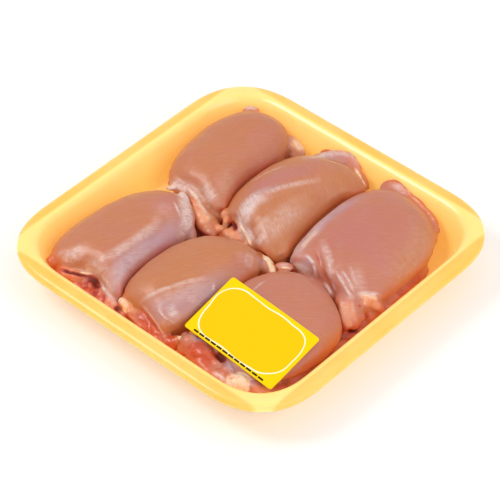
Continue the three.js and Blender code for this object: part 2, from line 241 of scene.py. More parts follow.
@dataclass(frozen=True)
class PhotoView:
    """The photograph's camera: where it stands, and the way from a pixel back to the object."""

    azimuth: float = 42.116
    elevation: float = 43.673
    focal_pixels: float = 2450.0
    distance: float = 1570.5
    target: Point = (9.356, -11.721, 30.0)
    frame_pixels: int = 500
    sensor: float = 36.0
    usual_level: float = 20.0

    def axes(self) -> tuple[Vector, Vector, Vector]:
        """Gives the camera's right, up and backward directions.

        Returns:
            The three directions, each of length one.
        """
        turn, rise = math.radians(self.azimuth), math.radians(self.elevation)
        back = Vector((math.sin(turn) * math.cos(rise), -math.cos(turn) * math.cos(rise), math.sin(rise)))
        right = Vector((math.cos(turn), math.sin(turn), 0))
        return right, back.cross(right), back

    def eye(self) -> Vector:
        """Gives the camera's place in millimetres."""
        return Vector(self.target) + self.axes()[2] * self.distance

    def ray(self, pixel: Pixel) -> Vector:
        """Gives the direction in which the camera sees a pixel.

        Args:
            pixel: The place in the photograph.

        Returns:
            The direction, of length one.
        """
        right, up, back = self.axes()
        middle = self.frame_pixels / 2
        across = (pixel[0] - middle) / self.focal_pixels
        down = (pixel[1] - middle) / self.focal_pixels
        return (right * across - up * down - back).normalized()

    def on_surface(self, pixel: Pixel, surface: BVHTree) -> Vector:
        """Finds the point of a surface behind a pixel, or the nearest one where the ray just misses.

        Args:
            pixel: The place in the photograph.
            surface: The surface, in millimetres.

        Returns:
            The point in millimetres.
        """
        eye, ray = self.eye(), self.ray(pixel)
        hit = surface.ray_cast(eye, ray)[0]
        if hit is not None:
            return hit
        return surface.find_nearest(self.at_level(pixel, self.usual_level))[0]

    def at_level(self, pixel: Pixel, level: float) -> Vector:
        """Gives the point at a height that the camera sees at a pixel."""
        eye, ray = self.eye(), self.ray(pixel)
        return eye + ray * ((level - eye.z) / ray.z)

    def make_camera(self) -> None:
        """Adds the camera to the scene."""
        right, up, back = self.axes()
        lens = bpy.data.cameras.new("camera")
        lens.sensor_width = self.sensor
        lens.lens = self.focal_pixels / self.frame_pixels * self.sensor
        lens.clip_start = 0.01
        camera = bpy.data.objects.new("camera", lens)
        turn = Matrix((right, up, back)).transposed().to_4x4()
        camera.matrix_world = Matrix.Translation(self.eye() * MM) @ turn
        bpy.context.scene.collection.objects.link(camera)
        bpy.context.scene.camera = camera


# Materials

def operator(operation: str, swapped: bool = False) -> Callable[["Value", Any], "Value"]:
    """Makes a two-sided operator of Value from a Math node.

    Args:
        operation: What the node does.
        swapped: Whether the value stands on the right of the sign.

    Returns:
        The operator.
    """
    def apply(value: "Value", other: Any) -> "Value":
        """Adds the node with the value on its side."""
        sides = (other, value) if swapped else (value, other)
        return value.graph.node("ShaderNodeMath", {"operation": operation}, dict(enumerate(sides)))
    return apply


class Value:
    """A shader socket that Python's operators extend with Math nodes."""

    __add__ = __radd__ = operator("ADD")
    __sub__ = operator("SUBTRACT")
    __rsub__ = operator("SUBTRACT", swapped=True)
    __mul__ = operator("MULTIPLY")
    __truediv__ = operator("DIVIDE")
    __pow__ = operator("POWER")
    maximum = operator("MAXIMUM")
    minimum = operator("MINIMUM")

    def __init__(self, graph: "Graph", socket: bpy.types.NodeSocket) -> None:
        """Wraps a socket of a graph."""
        self.graph = graph
        self.socket = socket

    def size(self) -> "Value":
        """Drops the sign."""
        return self.graph.node("ShaderNodeMath", {"operation": "ABSOLUTE"}, {0: self})

    def fraction(self) -> "Value":
        """Keeps what follows the decimal point."""
        return self.graph.node("ShaderNodeMath", {"operation": "FRACT"}, {0: self})

    def step(self, low: float, high: float) -> "Value":
        """Goes smoothly from 0 at low to 1 at high."""
        return self.graph.node("ShaderNodeMapRange", {"interpolation_type": "SMOOTHSTEP"},
                               {"Value": self, "From Min": low, "From Max": high})

    def under(self, edge: float, soft: float) -> "Value":
        """Is 1 below an edge and 0 above it, with a soft change between."""
        return self.step(edge + soft, edge - soft)

    def clamp(self) -> "Value":
        """Keeps the value between 0 and 1."""
        return self.graph.node("ShaderNodeClamp", {}, {"Value": self})


class Graph:
    """The node tree of one new material."""

    def __init__(self, name: str) -> None:
        """Makes an empty material.

        Args:
            name: The material's name.
        """
        self.material = bpy.data.materials.new(name)
        self.material.use_nodes = True
        self.tree = self.material.node_tree
        self.tree.nodes.clear()

    def feed(self, socket: bpy.types.NodeSocket, value: Any) -> None:
        """Links a value to a socket, or sets the socket to a number or colour.

        Args:
            socket: The input.
            value: What it gets.
        """
        if isinstance(value, Value):
            self.tree.links.new(value.socket, socket)
        elif socket.type == "RGBA":
            socket.default_value = (*value, 1.0)
        else:
            socket.default_value = value

    def node(self, kind: str, settings: dict[str, Any], inputs: dict[Any, Any],
             output: int | str = 0) -> Value:
        """Adds a node.

        Args:
            kind: The node's type.
            settings: Its settings, set before its sockets.
            inputs: Numbers, colours or values by socket.
            output: The socket to read.

        Returns:
            The output as a value.
        """
        made = self.tree.nodes.new(kind)
        for key, setting in settings.items():
            setattr(made, key, setting)
        for key, value in inputs.items():
            self.feed(made.inputs[key], value)
        return Value(self, made.outputs[output] if made.outputs else None)

    def mix(self, share: Any, first: Any, second: Any) -> Value:
        """Mixes a share of the second colour into the first."""
        return self.node("ShaderNodeMix", {"data_type": "RGBA"}, {0: share, 6: first, 7: second}, 2)

    def mask(self, name: str) -> Value:
        """Reads an attribute of the mesh as a number."""
        return self.node("ShaderNodeAttribute", {"attribute_name": name}, {}, "Fac")

    def coordinates(self, turn: float = 0.0, stretch: Point = (1, 1, 1)) -> Value:
        """Gives the object's coordinates in millimetres.

        Args:
            turn: Degrees turned about Z.
            stretch: How many times longer a pattern is along each turned axis.

        Returns:
            The coordinates.
        """
        plain = self.node("ShaderNodeTexCoord", {}, {}, "Object")
        turned = self.node("ShaderNodeMapping", {},
                           {"Vector": plain, "Rotation": (0, 0, math.radians(-turn))})
        scale = tuple(1 / (MM * length) for length in stretch)
        return self.node("ShaderNodeVectorMath", {"operation": "MULTIPLY"}, {0: turned, 1: scale})

    def noise(self, where: Value, grain: float, detail: float = 2.0, distortion: float = 0.0) -> Value:
        """Adds noise, about 0.3 to 0.7, in patches of a size in millimetres."""
        return self.node("ShaderNodeTexNoise", {}, {"Vector": where, "Scale": 1 / grain, "Detail": detail,
                                                    "Roughness": 0.5, "Distortion": distortion})

    def bump(self, height: Value, depth: float) -> Value:
        """Turns a height pattern, 0 to 1, into a normal, with its depth in millimetres."""
        return self.node("ShaderNodeBump", {}, {"Height": height, "Distance": depth * MM})

    def surface(self, inputs: dict[str, Any]) -> bpy.types.Material:
        """Closes the material with a Principled shader.

        Args:
            inputs: What its sockets get.

        Returns:
            The finished material.
        """
        shader = self.node("ShaderNodeBsdfPrincipled", {}, inputs)
        self.node("ShaderNodeOutputMaterial", {}, {"Surface": shader})
        return self.material


# Finishes

class Layer(Enum):
    """What a brush line paints on a thigh."""

    ROSE = "rose"
    LILAC = "lilac"
    # Membrane, and painted glare and glints.
    VEIL_AND_GLARE = "veil_and_glare"
    FAT = "fat"
    PEACH = "peach"
    RAW = "raw"
    # Painted shade in hollows and in the gaps between the thighs.
    PAINTED_SHADE = "painted_shade"


@dataclass(frozen=True)
class Cover:
    """How one layer shows on the muscle.

    Its mask shows from nothing to fully over a span, with its share of colour there. Strong patches turn
    its first colour into its second. It may shine more than the muscle, and bulge in patches.
    """

    layer: Layer
    span: tuple[float, float]
    share: float
    colours: tuple[Colour, Colour]
    patch_span: tuple[float, float]
    patch_share: float = 1.0
    sheen: float = 0.0
    bulge: float = 0.0
    raggedness: float = 0.3

    def mask(self, patches: Value) -> Value:
        """Reads the layer, with its edge made ragged by the patches."""
        whole = patches.graph.mask(self.layer.value)
        return (whole + (patches - 0.5) * self.raggedness).step(*self.span)

    def colour(self, patches: Value) -> Value:
        """Gives the patchy colour of the layer."""
        return patches.graph.mix(patches.step(*self.patch_span) * self.patch_share, *self.colours)


@dataclass(frozen=True)
class MeatFinish:
    """Raw skinless meat: tan to pink muscle under a wet film, with membrane, fat and cut places.

    It also carries painted glare and glints on the membrane, painted shade in hollows and gaps, and painted
    warm shade and bounce light near the tray and the other thighs.
    """

    tan: Colour = linear(196, 122, 77)
    pink: Colour = linear(194, 118, 104)
    lilac: Colour = linear(186, 140, 146)
    # The membrane's colour, also used for painted glare and glints.
    veil_and_glare: Colour = linear(234, 208, 202)
    cream: Colour = linear(248, 216, 180)
    peach: Colour = linear(230, 148, 104)
    # Painted warm shade and bounce light near the tray and the other thighs.
    warm: Colour = linear(212, 94, 30)
    raw: Colour = linear(206, 84, 36)
    blood: Colour = linear(176, 56, 32)
    # Near black: the heart of the painted shade in hollows and gaps.
    painted_shade: Colour = linear(112, 28, 4)
    # Colour of the painted glints along the crease lines of the membrane.
    white: Colour = linear(250, 238, 232)
    covers: tuple[Cover, ...] = (
        Cover(Layer.RAW, (0.15, 0.85), 0.92, (raw, blood), (0.4, 0.75), 0.75, sheen=0.14, bulge=0.9),
        Cover(Layer.FAT, (0.2, 0.8), 0.9, (cream, peach), (0.48, 0.8), sheen=-0.03, bulge=0.6),
        Cover(Layer.PEACH, (0.2, 0.8), 0.85, (peach, cream), (0.6, 0.8), bulge=0.6),
    )
    fibre_size: Point = (9.0, 0.7, 2.1)
    mottle_size: float = 14.0
    patch_size: float = 4.0
    grain_size: float = 0.8
    crease_size: float = 1.5
    crease_width: float = 0.07
    crease_glint_share: float = 0.5
    mottling: float = 0.9
    pale_fibres: float = 0.065
    red_fibres: float = 0.05
    contact_shade_share: float = 0.7
    wisps: tuple[float, float] = (0.42, 1.07)
    veil_share: float = 0.85
    # How the painted shade turns blood red at its edge and near black at its heart.
    shade_edge_share: float = 0.9
    shade_edge_span: tuple[float, float] = (0.05, 0.5)
    painted_shade_span: tuple[float, float] = (0.35, 0.9)
    roughness: float = 0.42
    grain_share: float = 0.14
    veil_sheen: float = 0.14
    deep_dullness: float = 0.3
    coat: float = 0.32
    relief: float = 0.24
    patch_relief: float = 0.2
    glow: float = 0.42
    glow_radius: Point = (6.0, 2.0, 1.0)

    def muscle(self, fibres: Value, mottle: Value) -> Value:
        """Colours the bare muscle: tan to pink and lilac, streaked by fibres, with painted warm shade and
        bounce light near its neighbours.

        Args:
            fibres: The fibre pattern.
            mottle: The broad uneven pattern.

        Returns:
            The colour.
        """
        graph = fibres.graph
        rose = (graph.mask(Layer.ROSE.value) + (mottle - 0.5) * self.mottling).clamp()
        lilac = (graph.mask(Layer.LILAC.value) * (mottle + self.mottling / 2)).clamp()
        colour = graph.mix(lilac, graph.mix(rose, self.tan, self.pink), self.lilac)
        colour = graph.mix(fibres.step(0.45, 0.75) * self.pale_fibres, colour, self.veil_and_glare)
        colour = graph.mix(fibres.step(0.5, 0.25) * self.red_fibres, colour, self.raw)
        # Painted warm shade and bounce light near the tray and the other thighs.
        return graph.mix(graph.mask(CONTACT_SHADE) * self.contact_shade_share, colour, self.warm)

    def membrane(self, fibres: Value, patches: Value) -> Value:
        """Reads the membrane with its painted glare and glints, torn into wisps by the fibres and patches."""
        torn = (fibres * 0.5 + patches * 0.5).step(0.34, 0.6) * (self.wisps[1] - self.wisps[0])
        return (fibres.graph.mask(Layer.VEIL_AND_GLARE.value) * (torn + self.wisps[0])).clamp()

    def make(self, name: str, fibre_turn: float) -> bpy.types.Material:
        """Makes the material of one thigh.

        Args:
            name: The material's name.
            fibre_turn: Which way its fibres run, in degrees about Z.

        Returns:
            The material.
        """
        graph = Graph(name)
        place = graph.coordinates()
        along = graph.coordinates(fibre_turn, self.fibre_size)
        fibres = graph.noise(along, 1.0, 2.0, 0.5)
        mottle = graph.noise(place, self.mottle_size, 3.0, 0.6)
        patches = graph.noise(place, self.patch_size)
        grain = graph.noise(place, self.grain_size)
        creases_and_glints = (graph.noise(along, self.crease_size, 1.0, 1.0) - 0.5).size().step(self.crease_width, 0.0)

        veil_and_glare = self.membrane(fibres, patches)
        # The layer of painted shade in hollows and gaps.
        painted_shade = graph.mask(Layer.PAINTED_SHADE.value)
        colour = graph.mix(veil_and_glare * self.veil_share, self.muscle(fibres, mottle), self.veil_and_glare)
        dullness = painted_shade * self.deep_dullness
        roughness = (grain - 0.5) * self.grain_share + self.roughness - veil_and_glare * self.veil_sheen + dullness
        bulge = self.patch_relief
        for cover in self.covers:
            mask = cover.mask(patches)
            colour = graph.mix(mask * cover.share, colour, cover.colour(patches))
            roughness = roughness - mask * cover.sheen
            bulge = mask * cover.bulge + bulge
        # Painted glints along the crease lines of the membrane; the same lines also raise the bump.
        colour = graph.mix(creases_and_glints * veil_and_glare * veil_and_glare * self.crease_glint_share, colour, self.white)
        # Painted shade in hollows and gaps: blood red at its edge, near black at its heart.
        colour = graph.mix(painted_shade.step(*self.shade_edge_span) * self.shade_edge_share, colour, self.blood)
        colour = graph.mix(painted_shade.step(*self.painted_shade_span), colour, self.painted_shade)
        streaks = fibres * (veil_and_glare * 0.7 + 0.15) + creases_and_glints * (veil_and_glare * 0.5 + 0.04)
        return graph.surface({
            "Base Color": colour,
            "Roughness": roughness,
            "Normal": graph.bump(streaks + grain * self.grain_share + patches * bulge, self.relief),
            "Subsurface Weight": self.glow,
            "Subsurface Radius": tuple(reach * MM for reach in self.glow_radius),
            "Subsurface Scale": 1.0,
            "IOR": 1.42,
            "Coat Weight": self.coat - dullness,
            "Coat Roughness": 0.2,
        })


@dataclass(frozen=True)
class FoamFinish:
    """Moulded foam: a satin yellow skin with faint bead marks, and painted shade that deepens the colour down
    in the tray.

    Inside the walls, a paler tone and an emitted glow are painted light that stands in for light coming
    through the thin walls. A thin band of painted shade runs under the outer lip.
    """

    colour: Colour = linear(254, 197, 92)
    pale: Colour = linear(254, 204, 110)
    # Painted light: the paler tone of the inner walls.
    inner: Colour = linear(254, 209, 132)
    # Painted shade: the deeper tone low in the tray.
    low: Colour = linear(254, 202, 108)
    # Painted shade under the outer lip.
    edge: Colour = linear(238, 164, 24)
    low_shade_levels: tuple[float, float] = (25.0, 5.0)
    lip_shade_levels: tuple[float, float] = (25.3, 24.1)
    lip_levels: tuple[float, float] = (21.0, 23.0)
    skin_size: float = 0.7
    glow_radius: Point = (10.0, 7.5, 4.0)
    glow: float = 0.27
    # Strength of the painted glow of the inner walls.
    inside_share: float = 0.7
    coat: float = 0.16
    bead_size: float = 2.4
    bead_depth: float = 0.045
    cloud_size: float = 45.0

    def make(self) -> bpy.types.Material:
        """Makes the material of the tray.

        Returns:
            The material.
        """
        graph = Graph("foam_yellow")
        place = graph.coordinates()
        beads = graph.node("ShaderNodeTexVoronoi", {"feature": "SMOOTH_F1"},
                           {"Vector": place, "Scale": 1 / self.bead_size, "Smoothness": 0.6})
        clouds = graph.noise(place, self.cloud_size, 3.0)
        skin = graph.noise(place, self.skin_size)
        level = graph.node("ShaderNodeSeparateXYZ", {}, {0: place}, 2)
        inside = graph.mask("inside")
        depth = level.step(*self.low_shade_levels) * inside
        colour = graph.mix(clouds.step(0.35, 0.65), self.colour, self.pale)
        # Paler inside the walls: painted light. Deeper down in the tray: painted shade.
        colour = graph.mix(inside * self.inside_share, colour, self.inner)
        colour = graph.mix(depth, colour, self.low)
        # A thin ochre band under the outer lip: painted shade.
        edge = level.step(*self.lip_shade_levels) * level.step(*self.lip_levels) * (1.0 - inside)
        colour = graph.mix(edge, colour, self.edge)
        return graph.surface({
            "Base Color": colour,
            # The inside glows: a painted glow that stands in for light through the walls.
            "Emission Color": graph.mix(inside, (0, 0, 0), colour),
            "Emission Strength": self.glow,
            "Roughness": 0.28 + (skin - 0.5) * 0.1 + beads * 0.05,
            "Normal": graph.bump(beads * 0.7 + skin * 0.3, self.bead_depth),
            "Subsurface Weight": 0.9,
            "Subsurface Radius": tuple(reach * MM for reach in self.glow_radius),
            "Subsurface Scale": 1.0,
            "IOR": 1.45,
            "Coat Weight": inside * self.inside_share + self.coat,
            "Coat Roughness": 0.2,
        })


@dataclass(frozen=True)
class LabelFinish:
    """Printed paper: two yellows, a plain white loop between them and a row of plain dark bars."""

    outer: Colour = linear(253, 212, 0)
    inner: Colour = linear(252, 200, 0)
    ink: Colour = linear(48, 40, 6)
    white: Colour = linear(255, 250, 225)
    loop_half: tuple[float, float] = (36.0, 19.6)
    loop_radius: float = 15.0
    loop_line: float = 0.38
    loop_wave: float = 3.4
    wave_size: float = 17.0
    bar_row: tuple[float, float] = (-20.6, 0.66)
    bar_reach: float = 31.0
    bar_pitch: float = 5.2
    bar_share: float = 0.84

    def make(self, length: float, width: float) -> bpy.types.Material:
        """Makes the printed side.

        Args:
            length: The label's length.
            width: Its width.

        Returns:
            The material.
        """
        graph = Graph("label_print")
        sheet = graph.node("ShaderNodeUVMap", {"uv_map": "sheet"}, {})
        parts = graph.node("ShaderNodeSeparateXYZ", {}, {0: sheet})
        across = (parts - 0.5) * length
        up = (Value(graph, parts.socket.node.outputs[1]) - 0.5) * width
        wave = (graph.noise(graph.coordinates(), self.wave_size, 0.0) - 0.5) * self.loop_wave
        half_x, half_y = (half - self.loop_radius for half in self.loop_half)
        over_x = across.size() - half_x + wave
        over_y = up.size() - half_y + wave
        corner = (over_x.maximum(0.0) ** 2.0 + over_y.maximum(0.0) ** 2.0) ** 0.5
        outside = corner + over_x.maximum(over_y).minimum(0.0) - self.loop_radius
        line = outside.size().under(self.loop_line, 0.15)
        paper = graph.mix(outside.under(0.0, 0.2), self.outer, self.inner)
        printed = graph.mix(line, paper, self.white)
        row, half_bar = self.bar_row
        in_row = (up - row).size().under(half_bar, 0.12)
        in_reach = across.size().under(self.bar_reach, 0.1)
        bars = (across / self.bar_pitch).fraction().size().under(self.bar_share, 0.02)
        printed = graph.mix(in_row * in_reach * bars, printed, self.ink)
        fibres = graph.noise(graph.coordinates(), 0.5)
        return graph.surface({
            "Base Color": printed,
            "Roughness": 0.55 + (fibres - 0.5) * 0.2,
            "Normal": graph.bump(fibres, 0.02),
            "Specular IOR Level": 0.08,
        })

    def make_back(self) -> bpy.types.Material:
        """Makes the bare paper of the underside.

        Returns:
            The material.
        """
        graph = Graph("label_paper")
        fibres = graph.noise(graph.coordinates(), 0.8, 3.0)
        return graph.surface({
            "Base Color": graph.mix(fibres, linear(236, 232, 220), linear(250, 248, 240)),
            "Roughness": 0.75 + (fibres - 0.5) * 0.1,
            "Normal": graph.bump(fibres, 0.03),
        })


# The tray

@dataclass
class FoamTray:
    """The square foam tray with its rolled rim and the thumb dent at its front corner."""

    side: float = 240.0
    height: float = 30.0
    corner_radius: float = 54.0
    corner_power: float = 2.55
    corner_steps: int = 34
    side_steps: int = 20
    section_steps: int = 3
    cap_shares: tuple[float, ...] = (0.86, 0.68, 0.48, 0.26, 0.1)
    inside_reach: float = 110.0
    inside_level: float = 3.9
    dent_half: Point = (7.5, 2.6, 5.0)
    dent_reach: float = 152.4
    dent_level: float = 26.8
    outer: tuple[tuple[float, float], ...] = (
        (27.5, 0), (24.2, 0.9), (21.6, 3.4), (18.4, 7.6), (15, 14), (11.6, 21.4), (10, 24.2), (8, 25.4),
        (5.8, 25.2), (4.4, 24.4), (2.6, 23.9), (1, 24), (0.2, 24.8), (0, 26.1), (0.5, 27.8),
        (2.2, 29.2), (4.5, 29.85))
    inner: tuple[tuple[float, float], ...] = (
        (7.2, 30), (9.8, 29.5), (12, 28.1), (13.8, 25.6), (15.8, 21), (19.6, 12), (22.2, 7.8),
        (25.8, 5), (31, 4))

    def ring(self, inset: float, level: float) -> np.ndarray:
        """Gives the points of one level ring of the tray.

        Args:
            inset: How far the ring is drawn in from the tray's side.
            level: Its height.

        Returns:
            The ring's points, the same count for each ring.
        """
        inset = max(inset, 0)
        radius = self.corner_radius - inset
        angles = np.linspace(0, math.pi / 2, self.corner_steps + 1)
        reach = np.stack([np.cos(angles), np.sin(angles)], 1) ** (2 / self.corner_power)
        corner = self.side / 2 - inset - radius + radius * reach
        side = np.linspace(1, -1, self.side_steps + 1)[1:-1, None] * (corner[-1][0], 0) + (0, corner[-1][1])
        quarter = np.concatenate([corner, side])
        turns = [np.array([[math.cos(a), math.sin(a)], [-math.sin(a), math.cos(a)]])
                 for a in (0, math.pi / 2, math.pi, 1.5 * math.pi)]
        flat = np.concatenate([quarter @ turn for turn in turns])
        return np.column_stack([flat, np.full(len(flat), level)])

    def section(self) -> list[tuple[float, float]]:
        """Gives the wall's section from the foot over the rim to the floor, drawn as a smooth curve.

        Returns:
            The inset and the level of each ring.
        """
        corners = np.array(self.outer + self.inner)
        ends = np.vstack([2 * corners[0] - corners[1], corners, 2 * corners[-1] - corners[-2]])
        curve = []
        for before, start, end, after in zip(ends, ends[1:], ends[2:], ends[3:]):
            for step in range(self.section_steps):
                t = step / self.section_steps
                curve.append(0.5 * (2 * start + (end - before) * t
                                    + (2 * before - 5 * start + 4 * end - after) * t ** 2
                                    + (3 * start - before - 3 * end + after) * t ** 3))
        curve.append(corners[-1])
        return [(float(inset), float(level)) for inset, level in curve]

    def place_ring(self, piece: bpy.types.Object, old: np.ndarray, new: np.ndarray) -> None:
        """Moves the newest ring, still lying on the one before it, to its own place.

        Args:
            piece: The tray, in edit mode.
            old: The ring before.
            new: The new ring.
        """
        spots = KDTree(len(old))
        for index, point in enumerate(old):
            spots.insert(point, index)
        spots.balance()
        mesh = bmesh.from_edit_mesh(piece.data)
        for vertex in mesh.verts:
            if vertex.select:
                vertex.co = Vector(new[spots.find(vertex.co / MM)[1]]) * MM
        bmesh.update_edit_mesh(piece.data)

    def pressed(self, points: np.ndarray) -> np.ndarray:
        """Presses the thumb dent into the lip.

        Args:
            points: The tray's vertices.

        Returns:
            The moved vertices.
        """
        tangent = np.array([1, 1, 0]) / math.sqrt(2)
        outward = np.array([1, -1, 0]) / math.sqrt(2)
        across = (points @ tangent) / self.dent_half[0]
        up = (points[:, 2] - self.dent_level) / self.dent_half[2]
        room = np.clip(1 - across ** 2 - up ** 2, 0, 1)
        limit = self.dent_reach - self.dent_half[1] * np.sqrt(room)
        out = points @ outward
        push = np.where((room > 0) & (out > limit), limit - out, 0)
        return points + push[:, None] * outward

    def build(self, finish: FoamFinish) -> bpy.types.Object:
        """Models the tray from one circle, drawn up ring by ring, and closes it.

        Args:
            finish: The foam.

        Returns:
            The tray.
        """
        section = self.section()
        foot, floor = self.ring(*section[0]), self.ring(*section[-1])
        rings = [foot * (share, share, 1) for share in reversed(self.cap_shares)]
        rings += [self.ring(inset, level) for inset, level in section]
        rings += [floor * (share, share, 1) for share in self.cap_shares]
        bpy.ops.object.select_all(action="DESELECT")
        bpy.ops.mesh.primitive_circle_add(vertices=len(foot), radius=self.side * MM, fill_type="NGON")
        piece = bpy.context.object
        piece.name = piece.data.name = "foam_tray"
        move_points(piece, rings[0])
        bpy.ops.object.mode_set(mode="EDIT")
        bpy.ops.mesh.select_mode(type="EDGE")
        bpy.ops.mesh.select_all(action="SELECT")
        bpy.ops.mesh.delete(type="ONLY_FACE")
        bpy.ops.mesh.select_all(action="SELECT")
        for old, new in zip(rings, rings[1:]):
            bpy.ops.mesh.extrude_region_move()
            self.place_ring(piece, old, new)
        bpy.ops.mesh.edge_face_add()
        bpy.ops.mesh.select_all(action="DESELECT")
        bpy.ops.mesh.select_non_manifold()
        bpy.ops.mesh.edge_face_add()
        bpy.ops.mesh.select_all(action="SELECT")
        bpy.ops.mesh.normals_make_consistent(inside=False)
        bpy.ops.object.mode_set(mode="OBJECT")
        move_points(piece, self.pressed(points_of(piece)))
        points = points_of(piece)
        reach = np.abs(points[:, :2]).max(1)
        inside = smoothstep(self.inside_reach + 2, self.inside_reach, reach)
        write_mask(piece, "inside", inside * (points[:, 2] > self.inside_level))
        select_only(piece)
        bpy.ops.object.shade_smooth()
        piece.data.materials.append(finish.make())
        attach(piece, BODY)
        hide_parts("tray")
        return piece

    def hold_inside(self, points: np.ndarray, gap: float = 0.3) -> np.ndarray:
        """Keeps points inside the tray's walls and above its floor.

        Args:
            points: Points in millimetres.
            gap: The clearance to keep.

        Returns:
            The points, moved in where they were outside.
        """
        levels = [level for _, level in reversed(self.inner)]
        insets = [inset for inset, _ in reversed(self.inner)]
        inset = np.interp(points[:, 2], levels, insets) + gap
        half = self.side / 2 - inset
        straight = self.side / 2 - self.corner_radius
        over = np.maximum(np.abs(points[:, :2]) - straight, 0)
        reach = (over ** self.corner_power).sum(1) ** (1 / self.corner_power)
        share = np.minimum(1, (half - straight) / np.maximum(reach, 1e-6))
        held = points.copy()
        held[:, :2] = np.sign(points[:, :2]) * (np.minimum(np.abs(points[:, :2]), straight)
                                                 + over * share[:, None])
        held[:, 2] = np.maximum(points[:, 2], levels[0] + gap)
        return held


# The label

@dataclass
class PaperLabel:
    """The plain label: a thin sheet with soft corners that bows over the two thighs under it."""

    length: float = 77.0
    width: float = 45.0
    thickness: float = 0.4
    middle: Point = (58.4, -64.6, 28.0)
    turn: float = -3.5
    tilt: float = 17.5
    bow: float = 1.0
    corner: float = 1.8
    cuts: int = 22
    margin: float = 0.6

    def pose(self) -> Matrix:
        """Gives the turn and tilt from the flat sheet to its place.

        Returns:
            The move, for points in millimetres.
        """
        tilt = Matrix.Rotation(math.radians(self.tilt), 4, "X")
        turn = Matrix.Rotation(math.radians(self.turn), 4, "Z")
        return Matrix.Translation(self.middle) @ turn @ tilt

    def bow_at(self, across: np.ndarray) -> np.ndarray:
        """Gives how high the sheet bows at a distance along it."""
        return self.bow * (1 - (2 * across / self.length) ** 2)

    def hold_under(self, points: np.ndarray, gap: float = 0.15) -> np.ndarray:
        """Keeps the meat under the label.

        Args:
            points: Points in millimetres.
            gap: The clearance to keep.

        Returns:
            The points, pressed down where they were above the sheet's underside.
        """
        pose = np.array(self.pose())
        flat = (points - pose[:3, 3]) @ pose[:3, :3]
        half = np.array([self.length, self.width]) / 2 + self.margin
        inside = (np.abs(flat[:, :2]) < half).all(1)
        limit = self.bow_at(flat[:, 0]) - gap
        flat[:, 2] = np.where(inside, np.minimum(flat[:, 2], limit), flat[:, 2])
        return flat @ pose[:3, :3].T + pose[:3, 3]

    def build(self, finish: LabelFinish) -> bpy.types.Object:
        """Models the sheet from one plane.

        Args:
            finish: The print and paper.

        Returns:
            The label.
        """
        bpy.ops.object.select_all(action="DESELECT")
        bpy.ops.mesh.primitive_plane_add(size=1)
        piece = bpy.context.object
        piece.name = piece.data.name = "paper_label"
        move_points(piece, points_of(piece) * MM * (self.length, self.width, 1))
        bpy.ops.object.mode_set(mode="EDIT")
        bpy.ops.mesh.select_all(action="SELECT")
        bpy.ops.mesh.bevel(offset=self.corner * MM, segments=6, affect="VERTICES")
        for cut in range(1, self.cuts):
            bpy.ops.mesh.select_all(action="SELECT")
            spot = (cut / self.cuts - 0.5) * self.length * MM
            bpy.ops.mesh.bisect(plane_co=(spot, 0, 0), plane_no=(1, 0, 0))
        bpy.ops.object.mode_set(mode="OBJECT")
        apply_modifier(piece, "SOLIDIFY", thickness=self.thickness * MM, offset=1.0)
        flat = points_of(piece)
        self.unfold(piece, flat)
        bowed = flat + np.outer(self.bow_at(flat[:, 0]), (0, 0, 1))
        move_points(piece, bowed)
        piece.data.transform(Matrix.Scale(MM, 4) @ self.pose() @ Matrix.Scale(1 / MM, 4))
        piece.data.materials.append(finish.make(self.length, self.width))
        piece.data.materials.append(finish.make_back())
        down = (self.pose().to_3x3() @ Vector((0, 0, -1))).normalized()
        for face in piece.data.polygons:
            face.material_index = int(face.normal.dot(down) > 0.5)
        select_only(piece)
        bpy.ops.object.shade_smooth_by_angle(angle=math.radians(35))
        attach(piece, BODY)
        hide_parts("label")
        return piece

    def unfold(self, piece: bpy.types.Object, flat: np.ndarray) -> None:
        """Writes the UV map that the print follows.

        Args:
            piece: The label.
            flat: Its vertices before it is bowed.
        """
        layer = piece.data.uv_layers.new(name="sheet")
        for loop in piece.data.loops:
            x, y, _ = flat[loop.vertex_index]
            layer.data[loop.index].uv = (x / self.length + 0.5, y / self.width + 0.5)


# The thighs

@dataclass(frozen=True)
class Stroke:
    """One brush line on a thigh, given by pixels of the photograph.

    It paints its layer up to its width in millimetres on each side, fading towards its ends, and
    lifts or carves the surface.
    """

    layer: Layer
    line: tuple[Pixel, ...]
    width: float
    strength: float = 1.0
    lift: float = 0.0


@dataclass(frozen=True)
class Lump:
    """A small bulge of meat or fat: the pixel that it is seen at, its height and its half sizes.

    Its turn is in degrees about Z, and it may carry a layer of its own.
    """

    spot: Pixel
    level: float
    half: Point
    turn: float = 0.0
    layer: Layer | None = None

    def pose(self, view: PhotoView) -> tuple[Vector, Point, Matrix]:
        """Gives its middle, its half sizes and its turn."""
        turn = Matrix.Rotation(math.radians(self.turn), 3, "Z")
        return view.at_level(self.spot, self.level), self.half, turn


@dataclass(frozen=True)
class Pad:
    """A long bulge between two pixels at two heights, with its half width and half height.

    It may carry a layer of its own.
    """

    ends: tuple[Pixel, Pixel]
    levels: tuple[float, float]
    width: float
    height: float
    layer: Layer | None = None
    rounding: float = 0.7

    def pose(self, view: PhotoView) -> tuple[Vector, Point, Matrix]:
        """Works out where it lies.

        Args:
            view: The camera that its ends are given in.

        Returns:
            Its middle, its half sizes and its turn.
        """
        start, end = (view.at_level(spot, level) for spot, level in zip(self.ends, self.levels))
        run = end - start
        half = (run.length / 2 + self.width * self.rounding, self.width, self.height)
        return (start + end) / 2, half, run.to_track_quat("X", "Z").to_matrix()


